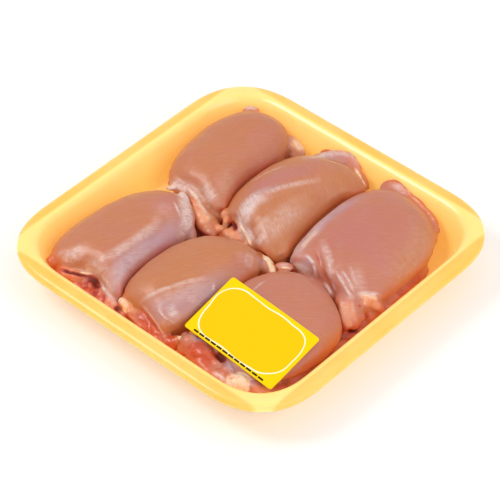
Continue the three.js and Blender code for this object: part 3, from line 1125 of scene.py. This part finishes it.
@dataclass
class Thigh:
    """One folded thigh, grown from its solid: smoothed, given its small lumps, then brushed."""

    node: str
    rose: float
    fibre_turn: float
    strokes: tuple[Stroke, ...]
    lumps: tuple[Lump | Pad, ...]
    first_voxel: float = 1.3
    voxel: float = 0.8
    first_passes: int = 9
    last_passes: int = 4
    swell_size: float = 17.0
    swell: float = 1.1
    raw_levels: tuple[float, float] = (18.0, 9.0)
    wall_gaps: tuple[float, float] = (13.0, 0.5)
    meat_gaps: tuple[float, float] = (7.0, 0.5)
    meat_share: float = 0.6
    taper: float = 0.3
    stroke_core: float = 0.2
    lift_fall: float = 1.6
    lump_paint: tuple[float, float] = (0.85, 1.45)
    # Share of raw red low on the thigh: cut flesh under the fold, and painted shade low among the thighs.
    low_raw_and_shade: float = 0.75
    top: float = CAD_BOX[1][2] / MM - 0.02

    def add_lumps(self, piece: bpy.types.Object, view: PhotoView) -> None:
        """Adds the lumps to the mesh of the thigh.

        Args:
            piece: The thigh.
            view: The camera that the lumps are given in.
        """
        select_only(piece)
        bpy.ops.object.mode_set(mode="EDIT")
        bpy.ops.mesh.select_all(action="DESELECT")
        for lump in self.lumps:
            middle, half, turn = lump.pose(view)
            bpy.ops.mesh.primitive_ico_sphere_add(subdivisions=3, radius=1.0, location=middle * MM,
                                                  rotation=turn.to_euler(), scale=Vector(half) * MM)
        bpy.ops.object.mode_set(mode="OBJECT")

    def remesh(self, piece: bpy.types.Object, voxel: float, passes: int) -> None:
        """Melts the mesh into one skin of a face size in millimetres and evens it out in some passes."""
        apply_modifier(piece, "REMESH", mode="VOXEL", voxel_size=voxel * MM, use_smooth_shade=True)
        apply_modifier(piece, "SMOOTH", factor=0.5, iterations=passes)

    def drop_scraps(self, piece: bpy.types.Object) -> None:
        """Deletes what does not hang together with the thigh's top.

        Args:
            piece: The thigh.
        """
        crown = int(np.argmax(points_of(piece)[:, 2]))
        select_only(piece)
        bpy.ops.object.mode_set(mode="EDIT")
        bpy.ops.mesh.select_mode(type="VERT")
        bpy.ops.mesh.select_all(action="DESELECT")
        bpy.ops.object.mode_set(mode="OBJECT")
        piece.data.vertices[crown].select = True
        bpy.ops.object.mode_set(mode="EDIT")
        bpy.ops.mesh.select_linked()
        bpy.ops.mesh.select_all(action="INVERT")
        scraps = piece.data.total_vert_sel
        bpy.ops.mesh.delete(type="VERT")
        bpy.ops.object.mode_set(mode="OBJECT")
        if scraps:
            LOG.info("%s: %d vertices of loose scraps deleted", piece.name, scraps)

    def paint(self, piece: bpy.types.Object, view: PhotoView) -> np.ndarray:
        """Writes the layers of the thigh and works out how far each point is lifted.

        Args:
            piece: The thigh.
            view: The camera that the strokes are given in.

        Returns:
            The lift of each point in millimetres.
        """
        points = points_of(piece)
        faces = [tuple(face.vertices) for face in piece.data.polygons]
        surface = BVHTree.FromPolygons([tuple(point) for point in points], faces)
        masks = {layer: np.zeros(len(points)) for layer in Layer}
        masks[Layer.ROSE] += self.rose
        # The lower part turns raw red: the cut flesh under the fold, and painted shade low among the thighs.
        masks[Layer.RAW] += self.low_raw_and_shade * smoothstep(*self.raw_levels, points[:, 2])
        lift = np.zeros(len(points))
        for stroke in self.strokes:
            line = [view.on_surface(pixel, surface) for pixel in stroke.line]
            distance, along = measure_line(points, line)
            share = distance / stroke.width
            taper = smoothstep(-self.taper / 2, self.taper, np.minimum(along, 1 - along))
            cover = stroke.strength * taper * (1 - smoothstep(self.stroke_core, 1.0, share))
            mask = masks[stroke.layer]
            masks[stroke.layer] = mask + cover if stroke.layer is Layer.ROSE else np.maximum(mask, cover)
            lift += stroke.lift * taper * np.exp(-(self.lift_fall * share) ** 2)
        for lump in self.lumps:
            if lump.layer:
                middle, half, turn = lump.pose(view)
                share = np.linalg.norm((points - middle) @ np.array(turn) / np.array(half), axis=1)
                cover = 1 - smoothstep(*self.lump_paint, share)
                masks[lump.layer] = np.maximum(masks[lump.layer], cover)
        masks[Layer.RAW] *= (1 - masks[Layer.FAT]) * (1 - masks[Layer.PEACH])
        # Painted warm shade and bounce light: strongest near the tray's walls, weaker near the other thighs.
        others = [name for name in frame["nodes"] if name not in (self.node, "tray", "label")]
        by_wall = smoothstep(*self.wall_gaps, gaps_to(["tray"], points))
        by_meat = smoothstep(*self.meat_gaps, gaps_to(others, points))
        write_mask(piece, CONTACT_SHADE, np.maximum(by_wall, self.meat_share * by_meat))
        for layer, mask in masks.items():
            write_mask(piece, layer.value, np.clip(mask, 0, 1))
        return lift

    def build(self, finish: MeatFinish, view: PhotoView, tray: FoamTray,
              label: PaperLabel) -> bpy.types.Object:
        """Models and dresses the thigh.

        Args:
            finish: The meat.
            view: The photograph's camera.
            tray: The tray that it lies in.
            label: The label that lies on it.

        Returns:
            The thigh.
        """
        name = self.node.replace("thigh", "meat")
        piece = node_copy(self.node, name)
        self.remesh(piece, self.first_voxel, self.first_passes)
        self.add_lumps(piece, view)
        self.remesh(piece, self.voxel, self.last_passes)
        self.drop_scraps(piece)
        swell = bpy.data.textures.new(name + "_swell", "CLOUDS")
        swell.noise_scale = self.swell_size * MM
        apply_modifier(piece, "DISPLACE", texture=swell, strength=self.swell * MM, mid_level=0.55,
                       texture_coords="LOCAL")
        lift = self.paint(piece, view)
        points = points_of(piece) + normals_of(piece) * lift[:, None]
        points[:, 2] = np.minimum(points[:, 2], self.top)
        move_points(piece, label.hold_under(tray.hold_inside(points)))
        select_only(piece)
        bpy.ops.object.shade_smooth()
        piece.data.materials.append(finish.make(name, self.fibre_turn))
        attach(piece, BODY)
        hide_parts(self.node)
        return piece


# Brushes, one for each layer. The membrane brush also lays painted glare and glints, and the last one lays
# painted shade in hollows and gaps.
rose, lilac, veil_and_glare, fat, peach, raw, painted_shade = (partial(Stroke, layer) for layer in Layer)


def front_left() -> Thigh:
    """Gives the front left thigh: a veiled ridge, and a lip over an open end of cut lumps.

    Returns:
        The thigh, not yet built.
    """
    ridge = (
        lilac(((196, 222), (172, 237), (152, 250), (134, 264), (122, 280), (114, 308)), 16),
        rose(((160, 198), (178, 212)), 16, 0.6),
        veil_and_glare(((156, 206), (172, 214)), 10, 0.18),
        veil_and_glare(((160, 216), (152, 228), (137, 239), (117, 252), (100, 262), (86, 266)), 5, 0.5, 0.5),
        veil_and_glare(((152, 244), (136, 256), (124, 268), (112, 280), (106, 290)), 9, 0.34),
        # A painted highlight on the front end.
        veil_and_glare(((62, 256), (67, 258), (74, 256), (84, 248)), 6.5, 0.7),
    )
    lip = (
        fat(((84, 268), (92, 268)), 6, 0.45),
        veil_and_glare(((88, 266), (98, 268), (104, 276)), 8, 0.6),
        peach(((58, 267), (70, 269.5), (82, 272)), 2.4, 0.7, 0.3),
        fat(((78, 271.5), (86, 273.5), (94, 274.5)), 1.5, 0.7, 0.3),
        veil_and_glare(((94, 277), (99, 281), (105, 289), (110, 296), (117, 307)), 2.4, 0.9, 0.5),
        veil_and_glare(((100, 272), (106, 282), (113, 296)), 5.5, 0.7),
    )
    open_end = (
        raw(((45, 256), (56, 266), (66, 270), (80, 273)), 3.6, 0.55),
        raw(((60, 274), (72, 281), (86, 290), (100, 300), (116, 311), (124, 318)), 9, 0.72),
        peach(((60, 271), (68, 275), (76, 278), (84, 280)), 5, 0.42),
        peach(((103, 299), (111, 304), (119, 312)), 5.5, 0.5),
        # Painted shade under the lip and among the cut lumps, over hollows carved into them.
        painted_shade(((60, 269.5), (76, 273.5), (90, 277.5)), 2, 0.9, -0.9),
        painted_shade(((84, 278), (90, 279), (95, 282), (98, 290)), 4.6, 0.8, -0.7),
        painted_shade(((85, 280), (86, 284), (85, 289)), 3, 0.5, -1),
        painted_shade(((97, 288), (95, 293), (94, 299)), 3, 0.5, -1),
        painted_shade(((104, 293), (103, 299), (102, 304)), 2.6, 0.4, -0.6),
        painted_shade(((119, 307), (121, 316)), 3.4, 0.8, -0.6),
    )
    back_membrane = (
        veil_and_glare(((168, 182), (179, 186), (185, 196), (186, 208), (188, 222), (192, 248)), 7.5, 1, 0.2),
        fat(((174, 184), (181, 188), (184, 194)), 4, 0.5),
        veil_and_glare(((174, 202), (177, 208), (181, 218)), 1.6, 0.8, 0.3),
    )
    end_lumps = (
        Lump((52, 262), 18, (4.4, 4.4, 4)), Lump((63, 272), 14.5, (4.6, 4, 4)),
        Lump((77, 278), 15, (6.4, 5, 5.2), 30), Lump((70, 282), 11, (7, 5, 5), 10),
        Lump((90, 286), 14, (5.4, 5, 5.2)), Lump((84, 292), 10, (6, 5, 5)),
        Lump((100, 294), 13.5, (6.4, 5, 5)), Lump((94, 300), 9, (7, 5, 5)),
        Pad(((104, 298), (118, 310)), (13.5, 12), 5.4, 5.6), Lump((110, 311), 9, (7, 5, 5)),
    )
    back_lumps = (
        Pad(((182, 196), (188, 226)), (23, 18), 5, 5), Pad(((186, 222), (192, 242)), (18, 13), 5, 6),
    )
    strokes = ridge + lip + open_end + back_membrane
    return Thigh("thigh_front_left", 0.25, 60, strokes, end_lumps + back_lumps)


def back_left() -> Thigh:
    """Gives the back left thigh: a smooth dome with a cord of fat round its front end.

    Returns:
        The thigh, not yet built.
    """
    dome = (
        rose(((286, 158), (265, 170), (247, 184), (234, 200), (226, 214)), 14, 0.6),
        rose(((272, 132), (250, 150)), 14, 0.35),
        # A painted highlight on the front slope.
        veil_and_glare(((203, 184), (209, 192), (215, 203)), 6.5, 0.6),
        veil_and_glare(((216, 190), (226, 185), (236, 177)), 11, 0.13),
        raw(((222, 206), (222, 222)), 4, 0.6),
        # Painted shade in the gap under the cord of fat.
        painted_shade(((194, 232), (206, 237), (218, 236)), 4),
    )
    cord = (
        veil_and_glare(((176, 182), (186, 186), (196, 192), (206, 204)), 6, 0.4),
        veil_and_glare(((162, 188), (169, 188), (177, 186)), 4),
        fat(((166, 187), (172, 185), (178, 183)), 3, 0.5),
        veil_and_glare(((172, 184), (181, 185), (189, 192)), 5, 0.8),
        veil_and_glare(((183, 184), (190, 190), (196, 197), (201, 206), (209, 217)), 2.6),
        fat(((183, 184), (190, 190), (196, 197), (201, 206), (209, 217)), 1.9, 0.55, 0.5),
        peach(((190, 196), (194, 206), (199, 216), (206, 225), (212, 228)), 8, 0.7),
        raw(((191, 199), (194, 208)), 2.6, 0.5),
        fat(((196, 209), (203, 218), (210, 223)), 6, 0.6),
    )
    far_edges = (
        fat(((290, 140), (298, 144), (304, 152)), 7, 0.6),
        veil_and_glare(((292, 138), (300, 141), (307, 153)), 2.6, 0.7),
        veil_and_glare(((244, 109), (251, 107), (258, 109)), 4, 0.9),
    )
    lumps = (
        Pad(((168, 188.5), (180, 187)), (20.5, 21), 2.2, 1.8),
        Pad(((178, 186), (192, 194)), (21.5, 20), 4.4, 3.2),
        Pad(((190, 194), (199, 212)), (19.5, 17), 5.4, 4.6),
        Pad(((196, 208), (207, 224)), (18, 16), 7, 5.6),
        # A low lump in the gap between the thighs, painted dark: painted shade.
        Pad(((192, 234), (222, 231)), (9, 9), 9, 6, Layer.PAINTED_SHADE),
        Lump((206, 223), 15.5, (8.4, 8, 6.6), -40), Lump((214, 227), 15.5, (4.4, 4.4, 4)),
        Lump((220, 229), 17, (3.6, 3, 3), 20, Layer.PEACH), Lump((216, 234), 12, (5, 4, 4.4)),
        Pad(((286, 138), (301, 153)), (21.5, 18), 5.4, 3.4), Lump((296, 156), 15, (7, 5, 5)),
        Pad(((246, 111), (256, 110)), (24, 24), 4, 1.6),
    )
    return Thigh("thigh_back_left", 0.2, 62, dome + cord + far_edges, lumps)


def front_middle() -> Thigh:
    """Gives the front middle thigh: a veiled lilac side, with knobs of fat at both ends.

    Returns:
        The thigh, not yet built.
    """
    side = (
        lilac(((146, 311), (162, 310), (182, 303), (202, 293), (218, 285), (234, 277)), 13, 0.8),
        veil_and_glare(((140, 303), (150, 296), (160, 291), (175, 286), (190, 281), (208, 278)), 2.6, 0.55, 0.4),
        veil_and_glare(((150, 304), (168, 298), (188, 291), (208, 285)), 9, 0.25),
        # A painted highlight on the near side.
        veil_and_glare(((168, 304), (172, 311), (175, 318)), 5, 0.6),
        veil_and_glare(((187, 296), (196, 300)), 4.5, 0.4),
        veil_and_glare(((214, 284), (213, 291)), 1.4, 0.7),
        veil_and_glare(((158, 309), (164, 317), (174, 323)), 1.3, 0.8, 0.3),
        veil_and_glare(((142, 305), (150, 315), (158, 326), (166, 338)), 2, 0.75, 0.3),
    )
    back_end = (
        lilac(((258, 256), (262, 266)), 7, 0.7),
        veil_and_glare(((244, 257), (254, 263)), 8, 0.4),
        rose(((250, 258), (236, 268)), 11, 0.6),
        fat(((264, 255), (270, 263), (274, 275)), 3.4, 1, 0.3),
    )
    front_end = (
        raw(((141, 312), (148, 322), (157, 333)), 7),
        fat(((121, 300), (127, 304)), 3.6),
        veil_and_glare(((121, 299), (127, 303), (132, 310)), 3.4, 0.6),
        peach(((128, 302), (132, 310), (138, 312)), 4, 0.7),
        raw(((137, 308), (145, 319), (154, 331), (163, 341)), 6),
        fat(((127, 302), (130, 307), (131, 311)), 3.6, 0.7),
        # Painted shade under the front end.
        painted_shade(((121, 313), (131, 322), (142, 331), (153, 341)), 3, 0.7),
    )
    lumps = (
        Lump((126, 303), 17, (4.2, 3.4, 3.4), 30, Layer.FAT),
        Lump((121.5, 300.5), 18, (2.4, 2, 2.2), 0, Layer.FAT),
        Lump((129, 308), 15.5, (4, 3.4, 3.6), 0, Layer.FAT), Lump((124, 317), 9, (6, 5, 5)),
        Pad(((138, 314), (150, 327)), (14, 13), 5.4, 6), Pad(((130, 320), (142, 334)), (8, 8), 5, 5),
        Pad(((150, 326), (164, 338)), (13, 12.5), 5.4, 6), Lump((150, 340), 8, (8, 5, 4.6)),
        Lump((172, 343), 11.5, (6, 5, 5), 0, Layer.RAW),
        Lump((180.5, 338), 17, (1.7, 1.6, 2.2), 0, Layer.FAT), Lump((178, 341), 14, (4.4, 3.8, 4)),
        Pad(((266, 259), (272, 271)), (18, 16), 3.4, 3.2, Layer.FAT), Lump((266, 268), 16, (6, 5, 5)),
    )
    return Thigh("thigh_front_middle", 0.05, 60, side + back_end + front_end, lumps)


def back_middle() -> Thigh:
    """Gives the back middle thigh: a silvery band round its shoulder, a small hollow end and a thin far flap.

    Returns:
        The thigh, not yet built.
    """
    band = (
        rose(((247, 197), (262, 184), (280, 176), (300, 170), (322, 168)), 12, 0.9),
        lilac(((240, 214), (250, 200), (266, 190), (284, 184)), 5, 0.5),
        # Membrane over the shoulder with a painted highlight on it, and a low ridge with a painted highlight
        # streak along it.
        veil_and_glare(((242, 232), (243, 222), (246, 210), (252, 202), (264, 193)), 9, 1, 0.2),
        veil_and_glare(((252, 201), (266, 193), (280, 188), (296, 184), (318, 180)), 3.2, 0.45, 0.35),
        veil_and_glare(((250, 183), (266, 173), (284, 166)), 1.8, 0.4),
        veil_and_glare(((256, 246), (264, 236), (276, 224), (290, 212), (302, 204)), 11, 0.34),
        veil_and_glare(((252, 236), (262, 226), (272, 216)), 5, 0.4),
        rose(((268, 202), (286, 194), (306, 188)), 4, 0, -0.7),
        veil_and_glare(((243, 222), (248, 232), (254, 241)), 5.5, 0.9),
        veil_and_glare(((257, 245), (264, 234)), 4.5, 0.7),
        raw(((237, 217), (241, 226), (247, 235)), 1.8, 0.6),
        fat(((238, 219), (241, 226), (246, 234), (250, 243), (258, 255)), 1.3, 0.9, 0.4),
    )
    far_flap = (
        lilac(((312, 160), (326, 156), (342, 156), (352, 160), (356, 168)), 7, 0.6),
        veil_and_glare(((306, 158), (326, 154), (340, 152), (353, 156), (360, 168)), 5.4, 0.7),
        fat(((322, 160), (332, 162), (342, 165), (352, 171)), 2, 0.5, 0.3),
        fat(((354, 166), (359, 175), (364, 183), (369, 190)), 2, 0.8),
    )
    hollow_end = (
        # Painted shade in the hollow end, over a carved hollow.
        painted_shade(((231, 222), (234, 225), (236, 230)), 3, 1, -2.4),
        peach(((224, 210), (225, 218), (226, 224)), 3),
        raw(((229, 215), (230, 221), (231, 227)), 3, 0.9),
        fat(((225, 208), (224, 214)), 1.6, 0.7),
        fat(((228, 233), (236, 236)), 3, 0.5),
        peach(((224, 231), (234, 235), (242, 240)), 4, 0.8),
    )
    end_lumps = (
        # Painted shade inside the hollow.
        Lump((232, 228), 11, (7, 6, 6), 0, Layer.PAINTED_SHADE),
        Lump((228, 233), 18, (3.4, 2.8, 2.4), 0, Layer.PEACH),
        Lump((235, 234), 18.4, (3.6, 3, 2.6), 0, Layer.PEACH), Lump((233, 239), 17, (3.2, 2.8, 2.4)),
        Lump((240, 239), 17.6, (2.6, 2.2, 2)), Lump((244, 241), 17.5, (2, 1.8, 1.8), 0, Layer.PEACH),
        Lump((247, 244), 17, (2, 1.8, 1.8)), Lump((242, 245), 16, (2.6, 2.2, 2.2)),
        Lump((228, 240), 14, (4, 3, 3)), Lump((236, 244), 14, (4, 3, 3)), Lump((222, 237), 12, (5, 4, 4)),
        Lump((246, 249), 14, (5, 4, 4)), Lump((225, 214), 20, (2.6, 4.6, 4), 10),
        Lump((226.5, 223), 17, (2.6, 3.6, 4), 20),
    )
    flap_lumps = (
        Pad(((314, 160), (336, 157)), (25, 26), 6, 2.4), Pad(((330, 156), (350, 158)), (26, 25), 7, 2.4),
        Pad(((346, 158), (357, 170)), (25, 22), 5, 2.8),
        Pad(((355, 170), (367, 187)), (22, 18), 3.6, 3.4), Pad(((330, 164), (352, 170)), (22, 20), 6, 4),
        Pad(((279, 261), (290, 253)), (14, 14), 4, 5),
    )
    return Thigh("thigh_back_middle", 0.05, -28, band + far_flap + hollow_end, end_lumps + flap_lumps)


def front_right() -> Thigh:
    """Gives the front right thigh, under the label: smooth, with cut lumps along its front edge.

    Returns:
        The thigh, not yet built.
    """
    dome = (
        rose(((318, 356), (332, 344), (344, 332)), 12, -0.6),
        veil_and_glare(((252, 291), (258, 286), (265, 281)), 1.5, 0.5, 0.2),
        veil_and_glare(((278, 265), (290, 265.5)), 3, 0.55),
        fat(((277, 269.5), (284, 267.5), (293, 269)), 1.6, 0.8),
    )
    front_edge = (
        lilac(((184, 331), (200, 342), (213, 353)), 4.4),
        lilac(((222, 360), (231, 368), (242, 376), (258, 387)), 4.4),
        # A painted glint on the lilac band.
        veil_and_glare(((204, 344), (209, 349), (214, 353)), 2.6, 0.9),
        veil_and_glare(((224, 361), (232, 368), (240, 374)), 2, 0.9),
        raw(((192, 347), (200, 352), (208, 359), (214, 366)), 8, 0.95),
        # Painted shade in a carved hollow between the cut lumps.
        painted_shade(((216, 352), (220, 357), (225, 362)), 3.8, 1, -2),
        fat(((231, 381), (238, 382), (246, 388)), 6.4),
        veil_and_glare(((214, 373), (219, 376), (225, 381)), 2.6, 0.8),
        peach(((250, 387), (262, 390), (274, 391)), 4.5, 0.7),
    )
    rim_edge = (
        raw(((266, 391), (286, 388), (310, 374), (330, 358), (344, 342)), 4.5, 0.7),
        # Painted shade along the rim, where the thigh meets the wall.
        painted_shade(((292, 386), (310, 374), (330, 358), (346, 343)), 3.5, 0.32),
    )
    front_lumps = (
        Lump((190, 343), 16, (7, 6, 6), 20), Lump((186, 348), 12, (6, 6, 5)),
        Pad(((196, 350), (210, 360)), (15, 14.5), 6.4, 6.2, Layer.RAW),
        Pad(((192, 356), (208, 366)), (10, 10), 6, 5), Lump((219, 363), 16, (3.6, 3, 3)),
        Lump((227, 372), 15.5, (5, 4.6, 5)), Lump((218, 375), 13.4, (4.4, 3.8, 4), 10),
        Lump((223, 381), 11, (6, 4, 4)), Lump((213, 370), 11, (5, 4, 4)),
        Lump((239, 384), 14, (8, 6.6, 6), 30, Layer.FAT),
        Lump((246, 388), 12.5, (5, 4.4, 5), 0, Layer.FAT), Lump((255, 388), 14, (6, 5, 5)),
        Lump((265, 391), 12.5, (7, 5.4, 5)), Lump((277, 390), 12, (8, 5, 5), 30),
    )
    rim_lumps = (
        Pad(((286, 388), (308, 373)), (10.5, 10), 6, 5), Pad(((308, 373), (330, 357)), (10.5, 10), 6, 5),
        Pad(((326, 360), (344, 344)), (10.5, 10), 6, 5),
        Pad(((278, 266.5), (291, 267.5)), (18, 17.5), 3.4, 3),
    )
    return Thigh("thigh_front_right", 0.6, 40, dome + front_edge + rim_edge, front_lumps + rim_lumps)


def back_right() -> Thigh:
    """Gives the back right thigh: tendon streaks and painted glints down its front end to a flap of fat, and
    a thin far flap.

    Returns:
        The thigh, not yet built.
    """
    dome = (
        rose(((330, 222), (356, 232), (386, 240)), 34, 0.3),
        rose(((427, 222), (430, 250), (408, 276), (394, 286)), 18, -0.8),
        veil_and_glare(((422, 222), (421, 246), (404, 270), (386, 282)), 14, 0.13),
        lilac(((288, 266), (298, 248), (310, 234), (324, 220), (340, 208), (360, 198)), 9),
        lilac(((300, 262), (312, 266)), 7, 0.8),
        veil_and_glare(((286, 266), (296, 250), (310, 234), (326, 216), (350, 200)), 9, 0.5),
        fat(((298, 254), (304, 245), (312, 236), (320, 228)), 4.5, 0.5, 0.3),
    )
    tendons_and_glints = (
        # At the left end and in the small clusters the short white lines are painted glints; the longer lines
        # are tendon streaks.
        veil_and_glare(((290, 262), (300, 267), (312, 273)), 4.6, 0.95, 0.3),
        veil_and_glare(((306, 255), (310, 259), (314, 264)), 1.8, 1, 0.3),
        veil_and_glare(((313, 264), (315, 270), (316, 277)), 1.6, 1, 0.4),
        veil_and_glare(((322, 242), (327, 252), (330, 262), (330, 280)), 4, 0.58, 0.6),
        veil_and_glare(((336, 272), (343, 283), (348, 292), (354, 299)), 1.8, 1, 0.5),
        veil_and_glare(((342, 270), (349, 281), (355, 292)), 1.5, 0.7, 0.4),
        veil_and_glare(((350, 266), (355, 278), (358, 290)), 1.5, 0.55, 0.3),
        veil_and_glare(((354, 268), (358, 280), (360, 294)), 7, 0.32),
        veil_and_glare(((324, 283), (328, 288), (331, 295)), 1.5, 0.95, 0.3),
        veil_and_glare(((332, 283), (334, 287), (336, 291)), 1.3, 0.8, 0.3),
        veil_and_glare(((356, 294), (368, 294), (380, 296)), 3, 0.75, 0.3),
        raw(((314, 246), (319, 258), (325, 276), (334, 294)), 3.6, 0.5, -1),
    )
    front_flap = (
        peach(((344, 298), (348, 312), (352, 324)), 9, 0.65),
        veil_and_glare(((344, 301), (346, 311), (349, 321)), 5, 0.5),
        veil_and_glare(((352, 298), (352, 306), (353, 314)), 2, 0.5),
        raw(((338, 316), (343, 328), (351, 328), (358, 323)), 3),
        peach(((344, 318), (349, 324), (354, 324)), 4, 0.7),
        raw(((337, 300), (338, 314), (343, 331), (352, 329)), 2, 0.85),
        peach(((360, 300), (373, 303), (382, 309)), 5, 0.8),
        fat(((358, 296), (368, 297), (380, 300)), 3, 0.7),
        raw(((358, 304), (361, 308)), 2, 0.8, -0.8),
        raw(((366, 312), (370, 318)), 3, 0.8),
        # Painted shade under the flap of fat.
        painted_shade(((348, 331), (358, 330)), 3),
    )
    far_flap = (
        peach(((396, 182), (406, 190), (418, 202), (430, 214), (438, 232)), 3, 0.5),
        veil_and_glare(((402, 186), (414, 198), (426, 210)), 1.4, 0.5),
        veil_and_glare(((392, 184), (399, 187), (405, 195)), 4.4, 0.7),
        fat(((400, 181), (406, 187), (412, 196)), 1.4, 0.6),
        raw(((428, 266), (416, 280), (402, 292), (390, 302)), 4.6, 0.7),
    )
    front_lumps = (
        # A low lump in the gap between the thighs, painted dark: painted shade.
        Lump((287, 264), 9, (7, 6, 6), 0, Layer.PAINTED_SHADE),
        Pad(((338, 338), (364, 325)), (8, 8), 8, 5, Layer.RAW),
        Pad(((345, 302), (346, 326)), (20, 16.4), 5, 3.4),
        Pad(((353, 302), (353, 324)), (20.4, 17), 6, 3.8),
        Pad(((346, 316), (360, 317)), (18, 17.6), 5, 3.4), Lump((344, 328), 15.4, (2.2, 2.2, 2)),
        Pad(((362, 298), (376, 301)), (20.4, 19.6), 5, 3.2),
        Pad(((372, 301), (381, 309)), (19.6, 17.6), 4.2, 3), Lump((368, 317), 12, (6, 5, 5)),
        Lump((360, 325), 9, (7, 6, 5)), Lump((378, 316), 10.5, (7, 5, 5), 45),
    )
    wall_lumps = (
        Lump((386, 309), 12.5, (5, 4, 4)), Pad(((388, 305), (402, 293)), (13.5, 14), 3.8, 3.6),
        Pad(((400, 295), (414, 282)), (14, 13.6), 3.6, 3.4),
        Pad(((412, 284), (426, 270)), (13.6, 12.6), 3.4, 3.2),
    )
    flap_lumps = (
        Pad(((386, 187), (400, 185)), (24.6, 24), 6, 2.6),
        Pad(((396, 184), (410, 197)), (24, 22), 5, 2.6), Pad(((408, 195), (424, 210)), (22, 21), 4, 2.4),
        Pad(((422, 208), (436, 226)), (21, 19.4), 3.8, 2.6), Lump((436, 231), 18.4, (3.6, 3, 3), -70),
    )
    strokes = dome + tendons_and_glints + front_flap + far_flap
    return Thigh("thigh_back_right", 0.6, 42, strokes, front_lumps + wall_lumps + flap_lumps)


THIGHS = (front_left, back_left, front_middle, back_middle, front_right, back_right)


# The stage

@dataclass(frozen=True)
class Softbox:
    """A square lamp that looks at the tray: the direction to it, its distance, size and power."""

    name: str
    direction: Point
    distance: float
    size: float
    power: float

    def make(self) -> None:
        """Adds the lamp to the scene."""
        lamp = bpy.data.lights.new(self.name, "AREA")
        lamp.shape = "SQUARE"
        lamp.size = self.size
        lamp.energy = self.power
        toward = Vector(self.direction).normalized()
        holder = bpy.data.objects.new(self.name, lamp)
        turn = toward.to_track_quat("Z", "Y").to_matrix().to_4x4()
        holder.matrix_world = Matrix.Translation(toward * self.distance) @ turn
        bpy.context.scene.collection.objects.link(holder)


@dataclass(frozen=True)
class Studio:
    """A plain pale floor and soft light."""

    floor_side: float = 6.0
    floor_colour: Colour = (0.74, 0.74, 0.735)
    floor_glow: float = 0.25
    sky_strength: float = 0.62
    lamps: tuple[Softbox, ...] = (
        Softbox("key", (-0.49, -0.39, 0.79), 1.5, 0.6, 8.0),
        Softbox("fill", (0.85, 0.05, 0.6), 1.6, 1.2, 7.6),
        Softbox("top", (0.1, 0.35, 1.0), 1.6, 1.2, 3.0),
    )

    def build(self) -> None:
        """Adds the floor, the lamps and the sky."""
        bpy.ops.object.select_all(action="DESELECT")
        bpy.ops.mesh.primitive_plane_add(size=self.floor_side)
        floor = bpy.context.object
        floor.name = "floor"
        graph = Graph("floor_paper")
        floor.data.materials.append(graph.surface({
            "Base Color": self.floor_colour,
            "Roughness": 0.9,
            "Emission Color": (1.0, 1.0, 1.0),
            "Emission Strength": self.floor_glow,
        }))
        world = bpy.data.worlds.new("sky")
        world.use_nodes = True
        backdrop = world.node_tree.nodes["Background"]
        backdrop.inputs["Color"].default_value = (1, 1, 1, 1)
        backdrop.inputs["Strength"].default_value = self.sky_strength
        bpy.context.scene.world = world
        for lamp in self.lamps:
            lamp.make()


def main() -> None:
    """Builds the camera, the stage and every piece."""
    logging.basicConfig(level=logging.INFO, format="%(name)s: %(message)s")
    scene = bpy.context.scene
    scene.view_settings.view_transform = "Standard"
    view = PhotoView()
    view.make_camera()
    Studio().build()
    tray, label, meat = FoamTray(), PaperLabel(), MeatFinish()
    pieces = [tray.build(FoamFinish()), label.build(LabelFinish())]
    pieces += [thigh.build(meat, view, tray, label) for thigh in (make() for make in THIGHS)]
    for piece in pieces:
        LOG.info("%s: %d faces, rides on %s", piece.name, len(piece.data.polygons), BODY)


if __name__ == "__main__":
    main()
